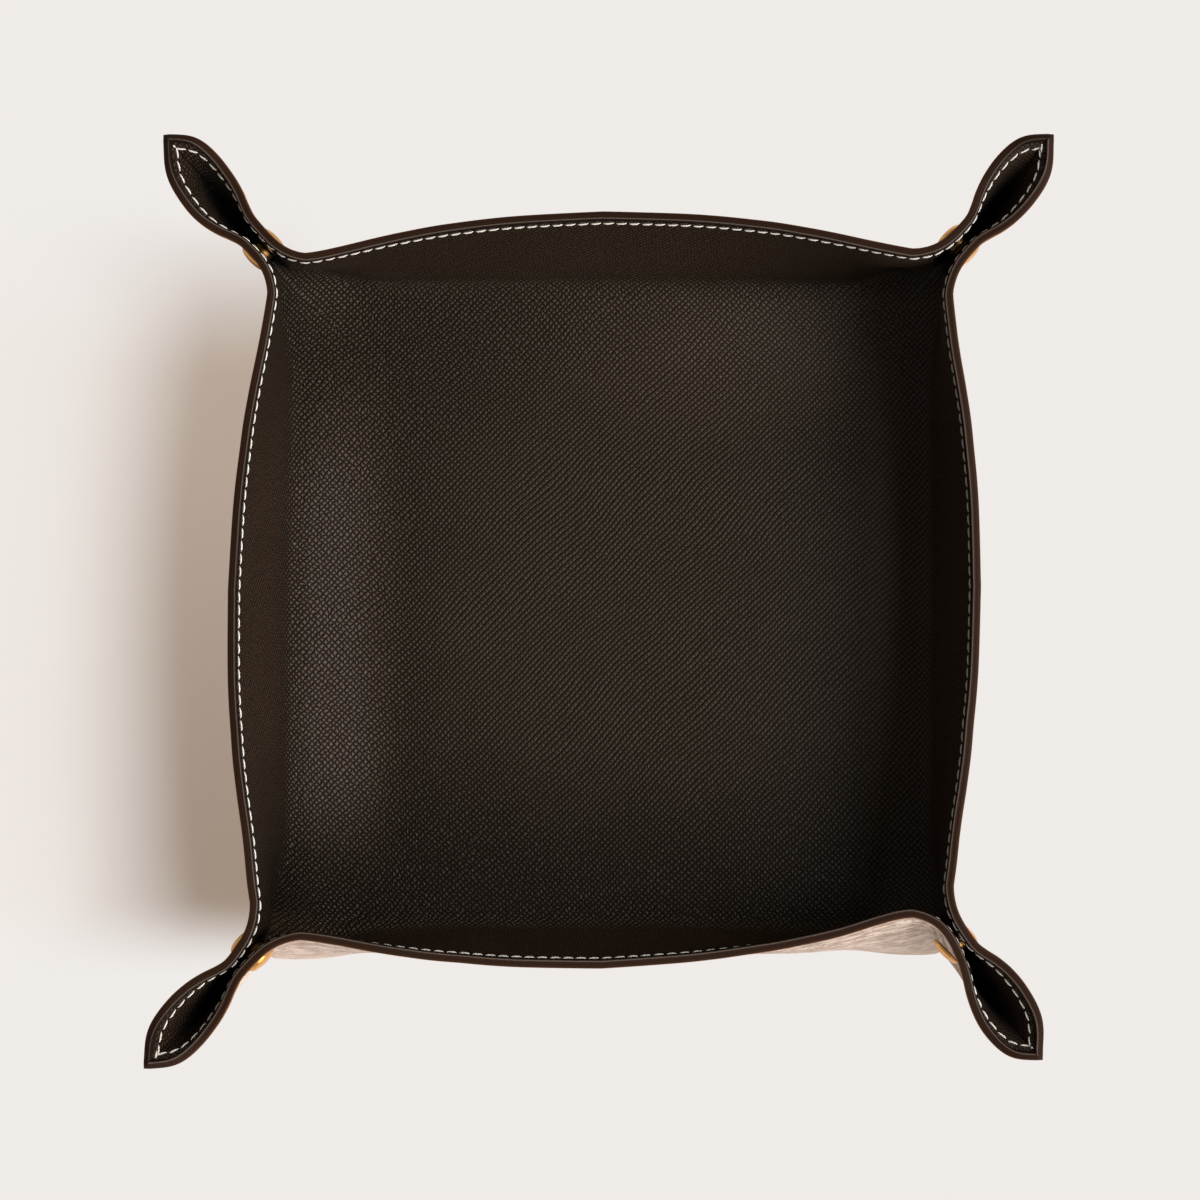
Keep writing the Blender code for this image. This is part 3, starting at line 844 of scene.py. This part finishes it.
def outsideLeather():
    # smooth pale leather, creased in fine lines along the rim; the creases are real, their dark colour is
    # painted shade
    look = outsideLook
    paint = Paint("outside_leather")
    rim = paint.layer("rimFrame")
    place = paint.inMillimetres(rim)
    stretched = paint.vector("MULTIPLY", {0: place, 1: look["stretch"]})
    wrinkles = paint.noise(stretched, 1.0, 4.0, 0.62)
    thin = paint.noise(stretched, 2.4, 3.0, 0.6)
    soft = paint.noise(place, 0.06, 3.0, 0.55)
    pores = paint.noise(place, 2.6, 2.0, 0.6)
    crease = (wrinkles - 0.5).maths("ABSOLUTE").maths("MINIMUM", (thin - 0.5).maths("ABSOLUTE") * 1.5)
    line = paint.ramp(crease, 0.0, 0.06, 1.0, 0.0, "LINEAR")
    line = line * paint.ramp(paint.split(rim)[1], *look["rimShare"], "LINEAR")
    mixed = paint.blendColour(soft, look["pale"], look["shade"])
    height = wrinkles * 1.2 + thin * 0.6 + pores * 0.2 - line * 0.6
    return paint.finish({"Base Color": paint.blendColour(line * 0.95, mixed, look["crease"]),
                         "Roughness": 0.5 + 0.2 * soft, "Normal": paint.bump(look["relief"], height)})


edgeLook = {
    "crown": 0.42 * mm,
    "crownPower": 0.55,
    "pinch": 0.08,                  # share by which the crown's shoulders draw in
    "groove": 0.12 * mm,            # where the two layers meet
    "groovePlace": (0.44, 0.05),    # its middle and width, as shares of the section
    "overlap": 0.09 * mm,
    "skirt": 0.9 * mm,
    "skirtBevel": (0.35 * mm, 0.2 * mm),
    "relief": 0.05 * mm,
    "steps": 14,
}


def edgePaint():
    # dark chocolate with a light grey line on the lining's half, a painted highlight, worn to orange brown at
    # its outer border
    look = edgeLook
    paint = Paint("edge_paint")
    along, across = paint.split(paint.layer("rimFrame"))
    joined = paint.node("ShaderNodeCombineXYZ", {}, {0: along * (1 / mm), 1: across * 6.0, 2: 0.0})
    drift = paint.noise(joined, 0.5, 3.0, 0.6)
    fine = paint.noise(joined, 2.2, 2.0, 0.6)
    # the light grey stop at 0.26 is a painted highlight
    tone = paint.node("ShaderNodeValToRGB", {"stops": [
        (0.0, (0.008, 0.004, 0.003, 1)), (0.19, (0.016, 0.008, 0.005, 1)), (0.26, (0.17, 0.13, 0.105, 1)),
        (0.34, (0.028, 0.011, 0.005, 1)), (0.6, (0.022, 0.009, 0.004, 1)), (0.8, (0.044, 0.017, 0.007, 1)),
        (0.9, (0.15, 0.056, 0.018, 1)), (1.0, (0.38, 0.17, 0.06, 1))]}, {0: across + (drift - 0.5) * 0.05})
    colour = paint.blendColour(fine, tone, (0.02, 0.011, 0.007, 1))
    colour = paint.blendColour(0.35, tone, colour)
    bump = paint.bump(look["relief"], fine * 0.6 + drift, 0.8)
    return paint.finish({"Base Color": colour, "Roughness": 0.6, "Normal": bump, "Specular IOR Level": 0.1})


def threadLook():
    paint = Paint("thread")
    where = paint.place()
    fibre = paint.noise(where, 2600.0, 2.0, 0.6)
    soil = paint.noise(where, 60.0, 2.0, 0.6)
    clean = paint.blendColour(soil, (0.95, 0.93, 0.88, 1), (0.86, 0.81, 0.73, 1))
    colour = paint.blendColour(fibre * 0.25, clean, (0.60, 0.53, 0.45, 1))
    return paint.finish({"Base Color": colour, "Roughness": 0.62,
                         "Normal": paint.bump(0.05 * mm, fibre, 0.6)})


def brassLook(name, bright, dull):
    paint = Paint(name)
    where = paint.place()
    scuffs = paint.noise(paint.vector("MULTIPLY", {0: where, 1: (1, 1, 6)}), 900.0, 4.0, 0.65)
    cloud = paint.noise(where, 220.0, 3.0, 0.55)
    rough = 0.2 + 0.16 * scuffs + 0.08 * cloud
    return paint.finish({"Base Color": paint.blendColour(cloud, bright, dull), "Roughness": rough,
                         "Metallic": 1.0, "Normal": paint.bump(0.01 * mm, scuffs, 0.25)})


def boardLook():
    paint = Paint("stiffener_board")
    fibre = paint.noise(paint.place(), 400.0, 4.0, 0.7)
    colour = paint.blendColour(fibre, (0.40, 0.33, 0.25, 1), (0.26, 0.21, 0.16, 1))
    return paint.finish({"Base Color": colour, "Roughness": 0.9, "Normal": paint.bump(0.1 * mm, fibre, 0.5)})


print("leather tray: materials")
liningMaterial = liningLeather("lining_leather", False)
# the lining for inside the ears, with painted shade down in their folds
shadedEarMaterial = liningLeather("lining_leather_inside_ears", True)
outsideMaterial = outsideLeather()
edgeMaterial = edgePaint()
threadMaterial = threadLook()
brassMaterial = brassLook("brass", (0.84, 0.47, 0.14, 1), (0.62, 0.30, 0.08, 1))
# a darker copy of the brass for the socket and stud, painted shade for their place in the narrow slit
shadedInnerBrass = brassLook("brass_inside_shaded", (0.30, 0.17, 0.06, 1), (0.16, 0.08, 0.03, 1))
boardMaterial = boardLook()


def turned(point, side):
    # a point of the north side, turned to another side
    turn = Matrix.Rotation(-math.pi / 2 * sideNames.index(side), 3, "Z")
    return tuple(turn @ Vector(point))


# Where the north wall's leather starts and ends to bend away from the floor
creaseLine = {
    "innerStart": (0, 95 * mm, 4.2 * mm),
    "innerEnd": (0, 103.6 * mm, 12 * mm),
    "outerStart": (0, 102 * mm, 0),
    "outerEnd": (0, 106.3 * mm, 5 * mm),
}

# Where an ear's leather bends away from its wall, along the diagonal
hingeLine = {
    "start": -2.4 * mm,
    "end": 1.6 * mm,
    "height": 30 * mm,
}


def hingeEnds(body):
    # the two points between which an ear's leather bends away from its wall
    corner, side = body.split("_")[1:]
    hand = 1 if corner == cornerOfSide[side][1] else -1
    ends = []
    for key in ("start", "end"):
        point = atCorner(hingeLine[key], 0, hingeLine["height"])
        ends.append(turned((hand * point[0], point[1], point[2]), side))
    return ends


def hang(piece, body, slot):
    # a wall's piece rides on it; an ear's piece only has its place baked into its points
    if body.startswith("ear_"):
        start, end = hingeEnds(body)
        "wall_" + body.split("_")[2]
        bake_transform(piece)
    else:
        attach(piece, body)


print("leather tray: leather")
for layer, node, low, high, material in (
        ("lining", "floor_inner", "innerBack", "innerFace", liningMaterial),
        ("outside", "floor_outer", "outerFace", "outerBack", outsideMaterial)):
    plate = floorPiece(layer + "_floor", floorHeights[low], floorHeights[high], material)
    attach(plate, "floor")
    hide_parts(node)
    layer + "_leather"

for body in bodySpans:
    cells = bodyCells(body)
    inside = shadedEarMaterial if body.startswith("ear_") else liningMaterial
    for layer, shown, back, material, slot in (
            ("lining", "innerFace", "innerBack", inside, "lining_leather"),
            ("outside", "outerFace", "outerBack", outsideMaterial, "outside_leather")):
        piece = shellPiece("%s_%s" % (layer, body), cells, shown, back, material)
        if layer == "outside":
            # its glued face and cut edges are dark: they take the inside ears' lining, painted near black as
            # shade except near the rim
            piece.data.materials.append(shadedEarMaterial)
            hidden = [0] * len(cells) + [1] * (len(piece.data.polygons) - len(cells))
            piece.data.polygons.foreach_set("material_index", hidden)
        if body.startswith("wall_"):
            side = body.split("_")[1]
            key = "inner" if layer == "lining" else "outer"
            turned(creaseLine[key + "Start"], side)
            turned(creaseLine[key + "End"], side)
            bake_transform(piece)
        else:
            hang(piece, body, slot)
        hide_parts("%s_%s" % (body, "inner" if layer == "lining" else "outer"))


def bandProfile():
    # section of the painted edge: across the leather from the lining to the outside, and up from the rim
    look = edgeLook
    half = sheet["outerFace"] + look["overlap"]
    top = []
    for step in range(look["steps"] + 1):
        share = step / look["steps"]
        angle = math.pi * (1 - share)
        crown = look["crown"] * (math.sin(angle) ** look["crownPower"] if 0 < share < 1 else 0)
        middle, width = look["groovePlace"]
        groove = look["groove"] * math.exp(-((share - middle) / width) ** 2)
        top.append((half * math.cos(angle) * (1 - look["pinch"] * math.sin(angle)), crown - groove, share))
    skirt, (inward, down) = -look["skirt"], look["skirtBevel"]
    return top + [(half, skirt, 1.0), (half - inward, skirt - down, 1.0), (-half + inward, skirt - down, 0.0),
                  (-half, skirt, 0.0)]


def bandLoop():
    # the painted edge round the whole tray, with its normals
    inner, outer = faces["innerFace"][:, -1], faces["outerFace"][:, -1]
    middle = (inner + outer) / 2
    span = (outer - inner) / (2 * sheet["outerFace"])
    rings = np.stack([middle + span * across + rimUp * rise for across, rise, share in bandProfile()], axis=1)
    along = np.roll(rings, -1, axis=0) - np.roll(rings, 1, axis=0)
    around = np.roll(rings, -1, axis=1) - np.roll(rings, 1, axis=1)
    return rings, unit(np.cross(along, around))


bandRings, bandNormals = bandLoop()


def tubePolygons(rings, sides):
    # four-sided faces round a row of rings, and one face over each end
    polygons = []
    for ring in range(rings - 1):
        for side in range(sides):
            following = (side + 1) % sides
            polygons.append((ring * sides + side, (ring + 1) * sides + side,
                             (ring + 1) * sides + following, ring * sides + following))
    polygons.append(tuple(range(sides)))
    polygons.append(tuple((rings - 1) * sides + side for side in reversed(range(sides))))
    return polygons


def bandPiece(name, body):
    first, count = bodySpans[body]
    columns = np.arange(first, first + count + 1) % columnCount
    profile = bandProfile()
    vertices = bandRings[columns].reshape(-1, 3)
    normals = bandNormals[columns].reshape(-1, 3)
    size = len(profile)
    polygons = tubePolygons(count + 1, size)
    shares = np.array([share for across, rise, share in profile])
    frameUv = np.stack([np.repeat(placesAlong(name, columns), size), np.tile(shares, count + 1)], axis=1)
    loops = np.concatenate(polygons)
    cornerNormals = list(normals[loops])
    for polygon, start in ((polygons[-2], len(loops) - 2 * size), (polygons[-1], len(loops) - size)):
        three = [polygon[step] for step in (0, size // 3, 2 * size // 3)]
        cornerNormals[start:start + size] = [facing(vertices, three)] * size
    return addPiece(name, vertices, polygons, edgeMaterial, {"rimFrame": frameUv[loops]}, cornerNormals)


print("leather tray: painted edge")
for body in bodySpans:
    band = bandPiece("edge_" + body, body)
    hang(band, body, "lining_leather")

thread = {
    "pitch": 4.0 * mm,
    "length": 3.35 * mm,
    "radius": 0.29 * mm,
    "slant": math.radians(8),
    "lift": 0.24 * mm,
    "sides": 8,
    "rings": 7,
    "endShare": 0.06,               # a stitch's ends, and how full it is between them
    "fullness": 0.45,
    "dip": 0.4,                     # how deep its ends go, as a share of its thickness
    "plyDepth": 0.14,
    "plyTurn": 5.0 * math.pi,
    "tied": ("ear_nw_north", "ear_ne_east", "ear_se_south", "ear_sw_west"),     # ends at these ears' tips
    "tieColumns": 2,
    "tieRows": 3,
    "tiePitch": 1.2 * mm,
    "tieLength": 2.6 * mm,
}


def stitchShape():
    # one stitch along X: two plied strands whose ends dip into the leather
    vertices = []
    rings, sides = thread["rings"], thread["sides"]
    for ring in range(rings):
        share = ring / (rings - 1)
        filled = thread["endShare"] + (1 - 2 * thread["endShare"]) * share
        swell = math.sin(math.pi * filled) ** thread["fullness"]
        dip = -thread["dip"] * abs(2 * share - 1) ** 4
        for side in range(sides):
            angle = 2 * math.pi * side / sides
            ply = 1 + thread["plyDepth"] * math.cos(2 * angle - thread["plyTurn"] * share)
            vertices.append(((share - 0.5), 0.5 * swell * ply * math.cos(angle),
                             0.5 * swell * ply * math.sin(angle) + dip))
    mesh = bpy.data.meshes.new("stitch_shape")
    mesh.from_pydata(vertices, [], tubePolygons(rings, sides))
    mesh.shade_smooth()
    return addObject("stitch_shape", mesh)


def stitchTree(shape):
    # stitches at an even pitch along the path, turned by the path and by the leather's own facing
    tree = bpy.data.node_groups.new("saddle_stitches", "GeometryNodeTree")
    face = tree.interface
    face.new_socket("Geometry", in_out="INPUT", socket_type="NodeSocketGeometry")
    face.new_socket("Stitches", in_out="INPUT", socket_type="NodeSocketInt")
    for name in ("Stitch length", "Thread radius", "Slant", "Lift"):
        face.new_socket(name, in_out="INPUT", socket_type="NodeSocketFloat")
    face.new_socket("Geometry", in_out="OUTPUT", socket_type="NodeSocketGeometry")

    def add(kind, settings=None, values=None):
        made = tree.nodes.new(kind)
        for key, value in (settings or {}).items():
            setattr(made, key, value)
        for key, value in (values or {}).items():
            if isinstance(value, bpy.types.Node):
                value = value.outputs[0]
            if isinstance(value, bpy.types.NodeSocket):
                tree.links.new(value, made.inputs[key])
            else:
                made.inputs[key].default_value = value
        return made

    start = add("NodeGroupInput").outputs
    path = add("GeometryNodeMeshToCurve", values={0: start["Geometry"]})
    # half a stitch is left free at each end
    margin = add("ShaderNodeMath", {"operation": "DIVIDE"}, {0: 0.5, 1: start["Stitches"]})
    far = add("ShaderNodeMath", {"operation": "SUBTRACT"}, {0: 1.0, 1: margin})
    trimmed = add("GeometryNodeTrimCurve", {"mode": "FACTOR"}, {0: path, 2: margin, 3: far})
    spaced = add("GeometryNodeResampleCurve", values={0: trimmed, "Count": start["Stitches"]})
    outward = add("GeometryNodeInputNamedAttribute", {"data_type": "FLOAT_VECTOR"}, {"Name": "facing"})
    tangent = add("GeometryNodeInputTangent")
    alongX = add("FunctionNodeAlignRotationToVector", {"axis": "X"}, {"Vector": tangent})
    upright = add("FunctionNodeAlignRotationToVector", {"axis": "Z", "pivot_axis": "X"},
                  {"Rotation": alongX, "Vector": outward})
    twist = add("FunctionNodeAxisAngleToRotation", values={"Axis": (0, 0, 1), "Angle": start["Slant"]})
    slanted = add("FunctionNodeRotateRotation", {"rotation_space": "LOCAL"}, {0: upright, 1: twist})
    thick = add("ShaderNodeMath", {"operation": "MULTIPLY"}, {0: start["Thread radius"], 1: 2.0})
    size = add("ShaderNodeCombineXYZ", values={0: start["Stitch length"], 1: thick, 2: thick})
    rise = add("ShaderNodeVectorMath", {"operation": "SCALE"}, {0: outward, "Scale": start["Lift"]})
    source = add("GeometryNodeObjectInfo", values={0: shape})
    placed = add("GeometryNodeInstanceOnPoints",
                 values={"Points": spaced, "Instance": source.outputs["Geometry"], "Rotation": slanted,
                         "Scale": size})
    moved = add("GeometryNodeTranslateInstances",
                values={0: placed, "Translation": rise, "Local Space": False})
    real = add("GeometryNodeRealizeInstances", values={0: moved})
    coated = add("GeometryNodeSetMaterial", values={0: real, "Material": threadMaterial})
    add("NodeGroupOutput", values={0: coated})
    return tree


def stitchPiece(name, points, facings, tree, pitch, size):
    # the thread goes along the points
    mesh = bpy.data.meshes.new(name)
    edges = [(step, step + 1) for step in range(len(points) - 1)]
    mesh.from_pydata([tuple(point) for point in points], edges, [])
    attribute = mesh.attributes.new("facing", "FLOAT_VECTOR", "POINT")
    attribute.data.foreach_set("vector", np.array(facings, np.float32).ravel())
    piece = addObject(name, mesh)
    modifier = piece.modifiers.new("stitches", "NODES")
    modifier.node_group = tree
    names = {item.name: item.identifier for item in tree.interface.items_tree if item.in_out == "INPUT"}
    length = np.linalg.norm(np.diff(points, axis=0), axis=1).sum()
    for key, value in (("Stitches", round(length / pitch)), ("Stitch length", size),
                       ("Thread radius", thread["radius"]), ("Slant", thread["slant"]),
                       ("Lift", thread["lift"])):
        modifier[names[key]] = value
    bpy.context.view_layer.update()
    graph = bpy.context.evaluated_depsgraph_get()
    made = bpy.data.meshes.new_from_object(piece.evaluated_get(graph), depsgraph=graph)
    piece.modifiers.clear()
    piece.data = made
    made.name = name
    return piece


print("leather tray: thread")
stitchRow = int(np.argmin(np.abs(sheetRowPlaces - (sheet["wallHeight"] - stitchLine["inset"]))))
oneStitch = stitchShape()
stitches = stitchTree(oneStitch)
for body, (first, count) in bodySpans.items():
    runs = [("thread_", first, count, stitchRow, thread["pitch"], thread["length"])]
    if body in thread["tied"]:
        # the thread ends in a double stitch beside the last one, at the ear's tip
        tip = first if (first // octantCount) % 2 else first + count - thread["tieColumns"]
        runs.append(("tie_", tip, thread["tieColumns"], stitchRow + thread["tieRows"], thread["tiePitch"],
                     thread["tieLength"]))
    for prefix, start, length, row, pitch, size in runs:
        columns = np.arange(start, start + length + 1) % columnCount
        piece = stitchPiece(prefix + body, faces["innerFace"][columns, row],
                            loopNormals["innerFace"][columns, row], stitches, pitch, size)
        hang(piece, body, "lining_leather")
bpy.data.objects.remove(oneStitch, do_unlink=True)

snapForm = {
    "capRadius": 5.2 * mm,
    "capRim": 0.5 * mm,
    "capDome": 1.5 * mm,
    "capUnderside": 3.85 * mm,      # from the diagonal plane
    "domeShare": 0.93,              # the dome's foot, as a share of the radius
    "capRoll": 0.36 * mm,
    "domeSteps": 14,
    "rollSteps": 8,
    "postRadius": 1.1 * mm,
    "segments": 56,
    "creaseAngle": math.radians(40),
    # sections of the hidden halves, as radius and height in mm
    "socket": ((1.4, 1.4), (4.15, 1.4), (4.3, 1.32), (4.3, 1.12), (4.15, 1.04), (3.75, 1.02), (3.6, 0.85),
               (3.6, -0.25), (3.48, -0.5), (3.25, -0.6), (2.65, -0.6), (2.38, -0.5), (2.3, -0.3),
               (2.42, -0.15), (2.6, 0.1), (2.6, 1.05), (1.4, 1.05), (1.4, 1.4)),
    "stud": ((0, 0.15), (1.4, 0.15), (1.4, 1.4), (3.85, 1.4), (4.0, 1.32), (4.0, 1.13), (3.85, 1.05),
             (2.1, 1.03), (1.8, 0.8), (1.75, 0.65), (1.95, 0.35), (2.0, 0.15), (1.92, -0.06), (1.75, -0.17),
             (0, -0.2)),
    "flare": ((1.7, 0.25), (1.75, 0.1), (1.6, 0)),      # the cap's post is spread at its end
}


def snapFrame(corner, hand):
    # place of a press stud's half, Z along its axis away from the diagonal plane
    center, out, axis = snapAxes(corner, hand)
    up = Vector((0, 0, 1))
    place = Matrix((up.cross(axis), up, axis)).transposed().to_4x4()
    place.translation = center
    return place


def turnedPiece(name, profile, place, material):
    # a closed profile of (radius, height) turned round Z
    segments = snapForm["segments"]
    vertices, polygons = [], []
    for segment in range(segments):
        angle = 2 * math.pi * segment / segments
        for radius, height in profile:
            vertices.append(place @ Vector((radius * math.cos(angle), radius * math.sin(angle), height)))
    size = len(profile)
    for segment in range(segments):
        following = (segment + 1) % segments
        for step in range(size - 1):
            polygons.append((segment * size + step, segment * size + step + 1,
                             following * size + step + 1, following * size + step))
    mesh = bpy.data.meshes.new(name)
    mesh.from_pydata(vertices, [], polygons)
    bm = bmesh.new()
    bm.from_mesh(mesh)
    bmesh.ops.remove_doubles(bm, verts=bm.verts, dist=0.002 * mm)
    bmesh.ops.recalc_face_normals(bm, faces=bm.faces)
    bm.to_mesh(mesh)
    bm.free()
    mesh.materials.append(material)
    mesh.shade_smooth()
    mesh.set_sharp_from_angle(angle=snapForm["creaseAngle"])
    return addObject(name, mesh)


def capSection(postEnd, flared):
    # domed cap with a rolled rim, and its post down to postEnd
    shape = snapForm
    radius, base, roll = shape["capRadius"], shape["capUnderside"], shape["capRoll"]
    section = [(0, base + shape["capRim"] + shape["capDome"])]
    for step in range(1, shape["domeSteps"] + 1):
        angle = math.pi / 2 * step / shape["domeSteps"]
        section.append((radius * shape["domeShare"] * math.sin(angle), base + shape["capRim"] * 1.1
                        + (shape["capDome"] - 0.05 * mm) * math.cos(angle)))
    for step in range(shape["rollSteps"] + 1):
        angle = math.pi * (0.75 - 1.25 * step / shape["rollSteps"])
        section.append((radius - roll + roll * math.cos(angle), base + roll + roll * math.sin(angle)))
    section += [(shape["postRadius"], base + 0.05 * mm), (shape["postRadius"], postEnd + 0.3 * mm)]
    if flared:
        section += [(wide * mm, postEnd + rise * mm) for wide, rise in shape["flare"]]
    return section + [(0, postEnd)]


def scaledSection(name):
    return [(radius * mm, height * mm) for radius, height in snapForm[name]]


print("leather tray: press studs")
for corner, cornerName in enumerate(cornerOrder):
    for node, section in (("cap", capSection(0.55 * mm, True)), ("socket", scaledSection("socket")),
                          ("stud", scaledSection("stud")), ("back_cap", capSection(0.45 * mm, False))):
        name = "snap_%s_%s" % (cornerName, node)
        hand = 1 if node in ("cap", "socket") else -1
        # caps take the bright brass, the socket and stud the copy with painted shade
        finish = brassMaterial if "cap" in node else shadedInnerBrass
        piece = turnedPiece("brass_%s_%s" % (cornerName, node), section, snapFrame(corner, hand), finish)
        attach(piece, frame["nodes"][name]["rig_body"])
        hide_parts(name)

board = frame["nodes"]["base_board"]
board.data.materials.clear()
board.data.materials.append(boardMaterial)

stageLook = {
    "pale": (0.866, 0.834, 0.810),          # the photograph's background
    # its darkest shadow, at the back and at the front
    "deepShade": ((0.47, 0.38, 0.31), (0.30, 0.225, 0.17)),
    "shadeX": (-112 * mm, -92 * mm),        # the shadow falls on the left only
    "shadeY": ((-122 * mm, -94 * mm), (70 * mm, 136 * mm)),
    "shadeTurn": (-90 * mm, 90 * mm),       # from the front's shade to the back's
    "size": 6.0,
    "level": -0.03 * mm,
}


def stageMaterial():
    # the camera sees the floor's own light, and real shadow only left of the tray;
    # the tray sees a plain pale floor
    look = stageLook
    paint = Paint("studio_floor")
    ramp = paint.ramp
    pale = look["pale"] + (1,)
    x, y = paint.split(paint.place())
    front, back = look["shadeY"]
    shaded = (1 - ramp(x, *look["shadeX"])) * ramp(y, *front) * (1 - ramp(y, *back))
    toBack = ramp(y, *look["shadeTurn"])
    seen = paint.node("ShaderNodeLightPath", {}, {}, "Is Camera Ray")
    own, lit = [], []
    for share in look["deepShade"]:
        own.append(tuple(tone * part for tone, part in zip(look["pale"], share)) + (1,))
        lit.append(tuple(tone * (1 - part) for tone, part in zip(look["pale"], share)) + (1,))
    glow = paint.blendColour(shaded, pale, paint.blendColour(toBack, own[1], own[0]))
    base = paint.blendColour(shaded, (0, 0, 0, 1), paint.blendColour(toBack, lit[1], lit[0]))
    return paint.finish({"Base Color": paint.blendColour(seen, pale, base), "Roughness": 0.9,
                         "Specular IOR Level": 0.0, "Emission Strength": 1.0,
                         "Emission Color": paint.blendColour(seen, (0, 0, 0, 1), glow)})


def stageFloor():
    half, level = stageLook["size"] / 2, stageLook["level"]
    mesh = bpy.data.meshes.new("studio_floor")
    mesh.from_pydata([(-half, -half, level), (half, -half, level), (half, half, level), (-half, half, level)],
                     [], [(0, 1, 2, 3)])
    mesh.materials.append(stageMaterial())
    floor = addObject("studio_floor", mesh)


lights = {
    # azimuth in degrees from the right to the back, and the lamp's width in degrees
    "key": {"strength": 2.3, "colour": (1.0, 0.985, 0.965), "azimuth": -4, "elevation": 52, "width": 30},
    "fill": {"strength": 1.9, "colour": (1.0, 0.97, 0.94), "azimuth": -46, "elevation": 30, "width": 44},
}

worldLook = {"strength": 0.16, "colour": (1.0, 0.93, 0.87, 1)}


def sunLamp(name):
    settings = lights[name]
    lamp = bpy.data.lights.new(name, "SUN")
    lamp.energy = settings["strength"]
    lamp.color = settings["colour"]
    lamp.angle = math.radians(settings["width"])
    item = addObject(name, lamp)
    flat, rise = math.radians(settings["azimuth"]), math.radians(settings["elevation"])
    toward = Vector((math.cos(flat) * math.cos(rise), math.sin(flat) * math.cos(rise), math.sin(rise)))
    item.rotation_mode = "QUATERNION"
    item.rotation_quaternion = toward.to_track_quat("Z", "Y")
    item.location = toward * 2


def studioWorld():
    world = bpy.data.worlds.new("studio")
    bpy.context.scene.world = world
    world.use_nodes = True
    tree = world.node_tree
    ground = tree.nodes["Background"]
    ground.inputs["Color"].default_value = worldLook["colour"]
    ground.inputs["Strength"].default_value = worldLook["strength"]
    shown = tree.nodes.new("ShaderNodeBackground")
    shown.inputs["Color"].default_value = stageLook["pale"] + (1,)
    rays = tree.nodes.new("ShaderNodeLightPath")
    either = tree.nodes.new("ShaderNodeMath")
    either.operation = "MAXIMUM"
    tree.links.new(rays.outputs["Is Camera Ray"], either.inputs[0])
    tree.links.new(rays.outputs["Is Transmission Ray"], either.inputs[1])
    mixed = tree.nodes.new("ShaderNodeMixShader")
    tree.links.new(either.outputs[0], mixed.inputs[0])
    tree.links.new(ground.outputs[0], mixed.inputs[1])
    tree.links.new(shown.outputs[0], mixed.inputs[2])
    tree.links.new(mixed.outputs[0], tree.nodes["World Output"].inputs["Surface"])


cameraPlace = {
    "place": (68.1 * mm, -112.6 * mm, 1469.7 * mm),
    "turns": (0.0773, 0.0480, 0.0018),      # about X, Y and Z
    "lens": 137.13,
}


def photoCamera():
    data = bpy.data.cameras.new("camera")
    data.sensor_width = 36
    data.lens = cameraPlace["lens"]
    camera = addObject("camera", data)
    turnX, turnY, turnZ = cameraPlace["turns"]
    camera.matrix_world = (Matrix.Translation(cameraPlace["place"]) @ Matrix.Rotation(turnZ, 4, "Z")
                           @ Matrix.Rotation(turnX, 4, "X") @ Matrix.Rotation(turnY, 4, "Y"))
    bpy.context.scene.camera = camera


print("leather tray: studio")
stageFloor()
for lampName in lights:
    sunLamp(lampName)
studioWorld()
photoCamera()
bpy.context.scene.view_settings.view_transform = "Standard"
